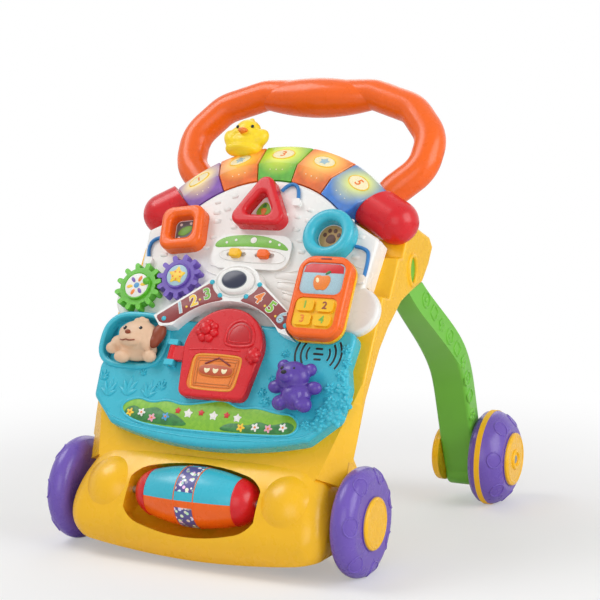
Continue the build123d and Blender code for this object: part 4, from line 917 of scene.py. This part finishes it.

# Keys with a painted inner glow and a pale window on each

# Each key's plastic colour and the colour of its painted glow.
KEY_COLOURS = [
    ((126, 82, 168), (250, 226, 130)), ((226, 104, 24), (252, 200, 90)), ((92, 178, 52), (226, 226, 70)),
    ((222, 100, 24), (250, 196, 90)), ((30, 110, 196), (214, 218, 110)),
]
KEY_REACH, KEY_LEVEL = 151.0, -15.5  # the middle of a key's face, out from the arch's centre and as w
SLOPE_COS, SLOPE_SIN = 0.854, 0.518
NORMAL = Vector((0.0, 0.0, 1.0))
for number, (colour, glow) in enumerate(KEY_COLOURS, 1):
    key = f"key_{number}"
    angle = radians((3 - number) * KEY_PITCH)
    along = Vector((cos(angle), sin(angle), 0.0))
    outward = Vector((-sin(angle), cos(angle), 0.0))
    centre = Vector((0.0, ARCH_V, 0.0)) + outward * KEY_REACH + NORMAL * KEY_LEVEL
    rise = outward * SLOPE_COS - NORMAL * SLOPE_SIN
    facing = outward * SLOPE_SIN + NORMAL * SLOPE_COS
    seat = PANEL @ Matrix.Translation(centre) @ Matrix((along, rise, facing)).transposed().to_4x4()
    # Each key's plastic gets a painted glow: a pale pool of light round its middle and a faint emission.
    dress(key, lit_plastic(f"lit_{key}", colour, glow, PANEL @ centre))
    plate(f"{key}_window", oval(0, 0, 11.6, 8.2, 40), -0.5, 0.5, key, INK_PALE, 0.3, place=seat)
    rim(f"{key}_window_rim", oval(0, 0, 12.2, 8.8, 40), 0.1, 0.6, key, INK_YELLOW, place=seat)
    if number % 2:
        figure(f"{key}_digit", str(number), (0, 0, 0.5), 13.0, key, INK_ORANGE, place=seat, swell=0.2)
    else:
        plate(f"{key}_star", star(0, 0, 6.4, 3.0), 0.4, 0.9, key, INK_PALE_BLUE, PRINT_EDGE, place=seat)
    for stud, spot in enumerate((-7.0, 0.0, 7.0)):
        ball(f"{key}_stud_{stud}", (spot, -21.5, -5.2), (1.5, 1.5, 1.0), key, INK_PALE, place=seat)


# Wheels: moulded rings round the shoulder, hub details

def on_tyre(side, axle, flank, across, around):
    """Point on a tyre: how far along its section from the hub's edge, and the angle round the axle."""
    run = across
    spot = flank[-1]
    for (x, r), (x2, r2) in zip(flank, flank[1:]):
        step = hypot(x2 - x, r2 - r)
        if run <= step:
            spot = (x + (x2 - x) * run / step, r + (r2 - r) * run / step)
            break
        run -= step
    return (side * spot[0], axle.y + spot[1] * cos(around), axle.z + spot[1] * sin(around))


def arc_through(first, middle, last, count=18):
    """Points of the circle arc through three points of a section."""
    (ax, ay), (bx, by), (cx, cy) = first, middle, last
    a2, b2, c2 = ax * ax + ay * ay, bx * bx + by * by, cx * cx + cy * cy
    d = 2 * (ax * (by - cy) + bx * (cy - ay) + cx * (ay - by))
    ux = (a2 * (by - cy) + b2 * (cy - ay) + c2 * (ay - by)) / d
    uy = (a2 * (cx - bx) + b2 * (ax - cx) + c2 * (bx - ax)) / d
    radius = hypot(ax - ux, ay - uy)
    start = atan2(ay - uy, ax - ux)
    sweep = (atan2(cy - uy, cx - ux) - start) % (2 * pi)
    if (atan2(by - uy, bx - ux) - start) % (2 * pi) > sweep:
        sweep -= 2 * pi
    angles = [start + sweep * i / count for i in range(count + 1)]
    return [(ux + radius * cos(a), uy + radius * sin(a)) for a in angles]


def turned_ring(name, x, axle, size, bead, body, material, count=40):
    """A round bead about an axle."""
    ring = [(x, y, z) for y, z in disc(axle.y, axle.z, size, count)]
    return tube(name, ring, bead, body, material, PART, closed=True)


FRONT_FLANK = [(168.0, 25.0)] + arc_through((168.0, 38.0), (155.5, 52.0), (143.0, 38.0))
REAR_FLANK = [(195.0, 29.0)] + arc_through((195.0, 35.0), (187.5, 45.0), (175.0, 51.5))
AXLES = {"front": FRONT_AXLE, "rear": REAR_AXLE}
TYRE_RINGS = 7
RING_START = 0.3
RING_SIZE = 8.5
RING_RADIUS = 44.0  # how far from the axle the rings lie, on average
for end, flank, middle in (("front", FRONT_FLANK, 21.0), ("rear", REAR_FLANK, 16.0)):
    for side, side_name in SIDES:
        body = f"{end}_wheel_{side_name}"
        for number in range(TYRE_RINGS):
            ring = []
            for i in range(24):
                a = 2 * pi * i / 24
                around = 2 * pi * number / TYRE_RINGS + RING_START + RING_SIZE * sin(a) / RING_RADIUS
                ring.append(on_tyre(side, AXLES[end], flank, middle + RING_SIZE * cos(a), around))
            tube(f"{body}_ring_{number}", ring, 0.9, body, PURPLE, PART, closed=True)

# Which end, what it is, how far out, its radius, its bead and its material.
HUB_RINGS = [
    ("front", "bead", 171.3, 22.0, 0.7, YELLOW),
    ("front", "seam", 168.3, 25.4, 0.7, DEEP_PURPLE),
    ("rear", "bead", 198.6, 25.6, 1.1, YELLOW),
    ("rear", "seam", 195.2, 29.4, 0.7, DEEP_PURPLE),
    ("rear", "boss", 199.0, 9.5, 2.2, YELLOW),
]
for side, side_name in SIDES:
    for end, what, x, size, bead, material in HUB_RINGS:
        turned_ring(f"{end}_hub_{side_name}_{what}", side * x, AXLES[end], size, bead,
                    f"{end}_wheel_{side_name}", material)
    ball(f"rear_hub_{side_name}_pin", (side * 198.7, REAR_AXLE.y, REAR_AXLE.z), (1.2, 4.6, 4.6),
         f"rear_wheel_{side_name}", GREY, PART)

# Roller: printed bands round its middle and beads at its joints

ROLLER_LINE = arc_through((-48.0, 22.0), (0.0, 29.0), (48.0, 22.0), 48)
ROLLER_PRINT_HALF = 9.4
ROLLER_PRINT_LIFT, ROLLER_PRINT_ROOT = 0.35, 0.3
ROLLER_SEAM = 10.6
ROLLER_END = 48.0


def roller_radius(x):
    """Radius of the roller's skin at a distance from its middle."""
    return min(ROLLER_LINE, key=lambda p: abs(p[0] - x))[1]


def wrap(name, start, sweep, across=8, steps=24):
    """A printed band on the roller's middle, over a sweep of angle."""
    bm = bmesh.new()
    xs = [2 * ROLLER_PRINT_HALF * j / across - ROLLER_PRINT_HALF for j in range(across + 1)]
    section = ([(x, roller_radius(x) + ROLLER_PRINT_LIFT) for x in xs]
               + [(x, roller_radius(x) - ROLLER_PRINT_ROOT) for x in reversed(xs)])
    mid_x, mid_y, mid_z = ROLLER_AXIS
    loops = []
    for i in range(steps + 1):
        a = radians(start + sweep * i / steps)
        loops.append([bm.verts.new((mid_x + x, mid_y + r * cos(a), mid_z + r * sin(a))) for x, r in section])
    for lower, upper in zip(loops, loops[1:]):
        band(bm, lower, upper)
    for loop in (loops[0], loops[-1]):
        for j in range(across):
            bm.faces.new((loop[j], loop[j + 1], loop[-j - 2], loop[-j - 1]))
    bmesh.ops.recalc_face_normals(bm, faces=bm.faces)
    return show(name, settled(bm, name, PART), "roller", CONFETTI)


for where, start, sweep in (("upper", 92, 66), ("lower", 188, 66), ("back", 284, 60), ("top", 8, 66)):
    wrap(f"roller_print_{where}", start, sweep)
for x in (-ROLLER_SEAM, ROLLER_SEAM):
    turned_ring(f"roller_seam_{x:.0f}", x, ROLLER_AXIS, roller_radius(x) + 0.1, 0.5, "roller", ORANGE, 48)
for x in (-ROLLER_END, ROLLER_END):
    turned_ring(f"roller_end_bead_{x:.0f}", x, ROLLER_AXIS, 22.2, 0.7, "roller", RED, 48)

# Legs: raised rings, dots, squares and flowers down the outer face, and collars round the tabs' slots

LEG_SPOTS = [(178, 240.5), (195, 225.5), (212, 210.5), (229, 196.5), (245.5, 181.5), (260, 165), (271.5, 146),
             (280.5, 125.5), (289, 103)]
LEG_BEAD = 1.2
LEG_TOP_Y, LEG_TOP_Z = 166.0, 251.4
DOWN_LEG_Y, DOWN_LEG_Z = 0.75, -0.661
LEG_SIDE, LEG_SPREAD, LEG_WIDEST = 145.5, 0.0977, 158.0  # the outer face at the top, per mm down, and at most
SEAT = 0.2  # how far dots and petals are let into the face
ARM_SIDE = 145.6
TAB_V, TAB_W = 235, -69


def on_leg(side, y, z):
    """Point of a leg's outer face, from how far it is behind the front axle and above the floor."""
    down = DOWN_LEG_Y * (y - LEG_TOP_Y) + DOWN_LEG_Z * (z - LEG_TOP_Z)
    return (side * min(LEG_WIDEST, LEG_SIDE + LEG_SPREAD * down), FRONT_AXLE.y + y, z)


for side, side_name in SIDES:
    for number, (y, z) in enumerate(LEG_SPOTS):
        x, behind, _ = on_leg(side, y, z)
        x -= side * SEAT
        if number % 3 == 1:
            square = [on_leg(side, *point) for point in rounded(y, z, 13, 13, 3.5, 42, 3)]
            tube(f"leg_{side_name}_square_{number}", square, LEG_BEAD, *ON_LEG, PART, closed=True)
        elif number % 3 == 2:
            for petal, (petal_y, petal_z, _) in enumerate(spaced(behind, z, 4.8, 5, 0)):
                at = (x, petal_y, petal_z)
                ball(f"leg_{side_name}_petal_{number}_{petal}", at, (1.5, 3.3, 3.3), *ON_LEG, PART)
        else:
            ring = [on_leg(side, *point) for point in disc(y, z, 7.8, 24)]
            tube(f"leg_{side_name}_ring_{number}", ring, LEG_BEAD, *ON_LEG, PART, closed=True)
            ball(f"leg_{side_name}_dot_{number}", (x, behind, z), (1.6, 3.0, 3.0), *ON_LEG, PART)
    slot_edge = [(side * ARM_SIDE, v, w) for v, w in oval(TAB_V, TAB_W, 15.0, 10.0, 36, 30)]
    tube(f"tab_collar_{side_name}", slot_edge, 2.6, "frame", YELLOW, closed=True)

# Back: ribs on the shell, latch and grip lines on the battery door, and black lines of painted shade for the
# slots in the screws

for number, v in enumerate((70, 84, 98, 112, 126)):
    line(f"shell_rib_{number}", [(-70, v), (0, v), (70, v)], SHELL_BACK, 1.1, *ON_PANEL)
for number, v in enumerate((183, 188, 193)):
    line(f"battery_door_line_{number}", [(-56, v), (-40, v), (-24, v)], BATTERY_DOOR_BACK, 0.8, *ON_PANEL)
rim("battery_door_latch", rounded(-40, 215, 14, 6, 2.5), BATTERY_DOOR_BACK, 0.9, *ON_PANEL)
for number, (u, v) in enumerate([(100, 54), (-100, 54), (100, 234), (-100, 234)]):
    # Each screw's slot is a black bead on the steel: painted shade where the cut lies.
    slot_shade = [(u - 2.6, v), (u, v + 0.2), (u + 2.6, v)]
    line(f"screw_slot_{number}", slot_shade, SCREW_BACK, 0.5, "frame", BLACK)


# Camera, lights and stage, in metres

CAMERA_AT = (0.7287, -1.4294, 0.4274)
CAMERA_AZIMUTH = radians(26.518)
CAMERA_RISE = radians(6.833)
LAMP_TARGET = Vector((0.0, 0.0, 0.2))
LAMPS = [  # name, place, size and power
    ("key_lamp", (-1.3, -0.6, 2.1), 1.2, 23.5),
    ("front_lamp", (0.7, -2.3, 0.8), 1.4, 11.5),
    ("side_lamp", (2.3, -0.3, 1.2), 1.6, 33.0),
    ("back_lamp", (-0.6, 1.8, 1.6), 1.4, 8.0),
]
WORLD_FILL = 0.34  # the backdrop's strength where neither the camera nor a reflection sees it
FLOOR_HALF = 6
FLOOR_FADE = (0.25, 0.85)  # the distances between which the floor fades to the white of the backdrop


def aimed(name, data, at, direction):
    """Link a camera or lamp at a place, looking along a direction."""
    holder = bpy.data.objects.new(name, data)
    holder.location = at
    holder.rotation_mode = "QUATERNION"
    holder.rotation_quaternion = direction.to_track_quat("-Z", "Y")
    scene.collection.objects.link(holder)
    return holder


lens = bpy.data.cameras.new("camera")
lens.lens = 92.5
lens.sensor_width = 36.0
backward = Vector((sin(CAMERA_AZIMUTH) * cos(CAMERA_RISE), -cos(CAMERA_AZIMUTH) * cos(CAMERA_RISE),
                   sin(CAMERA_RISE)))
scene.camera = aimed("camera", lens, CAMERA_AT, -backward)
for name, at, size, power in LAMPS:
    light = bpy.data.lights.new(name, "AREA")
    light.size = size
    light.energy = power
    aimed(name, light, at, LAMP_TARGET - Vector(at))

world = bpy.data.worlds.new("studio")
scene.world = world
sky = Tree(world)
rays = sky.add("LightPath").outputs
mirrored = sky.maths("MAXIMUM", rays["Is Glossy Ray"], rays["Is Transmission Ray"])
seen = sky.maths("MAXIMUM", rays["Is Camera Ray"], mirrored)
sky.fill(sky.nodes["Background"], {
    "Color": (1.0, 1.0, 1.0, 1.0),
    "Strength": sky.ranged(seen, 0.0, 1.0, WORLD_FILL, 1.0),
})

floor_mesh = bpy.data.meshes.new("studio_floor")
corners = [(x * FLOOR_HALF, y * FLOOR_HALF, 0) for x, y in ((-1, -1), (1, -1), (1, 1), (-1, 1))]
floor_mesh.from_pydata(corners, [], [(0, 1, 2, 3)])
floor = bpy.data.objects.new("studio_floor", floor_mesh)
scene.collection.objects.link(floor)
paper = bpy.data.materials.new("studio_paper")
sheet = Tree(paper)
sheet.nodes.remove(sheet.nodes["Principled BSDF"])
matt = sheet.add("BsdfDiffuse", {"Color": (0.86, 0.86, 0.86, 1.0)}).outputs[0]
bright = sheet.add("Emission", {"Strength": 1.0}).outputs[0]
spot = sheet.add("NewGeometry").outputs["Position"]
far = sheet.add("VectorMath", {0: spot}, operation="LENGTH").outputs["Value"]
fade = sheet.ranged(far, *FLOOR_FADE, 0.35, 1.0, interpolation_type="SMOOTHSTEP")
by_camera = sheet.add("LightPath").outputs["Is Camera Ray"]
blend = sheet.add("MixShader", {"Fac": sheet.maths("MULTIPLY", by_camera, fade), 1: matt, 2: bright})
sheet.fill(sheet.nodes["Material Output"], {"Surface": blend.outputs[0]})
floor_mesh.materials.append(paper)

scene.view_settings.view_transform = "Standard"
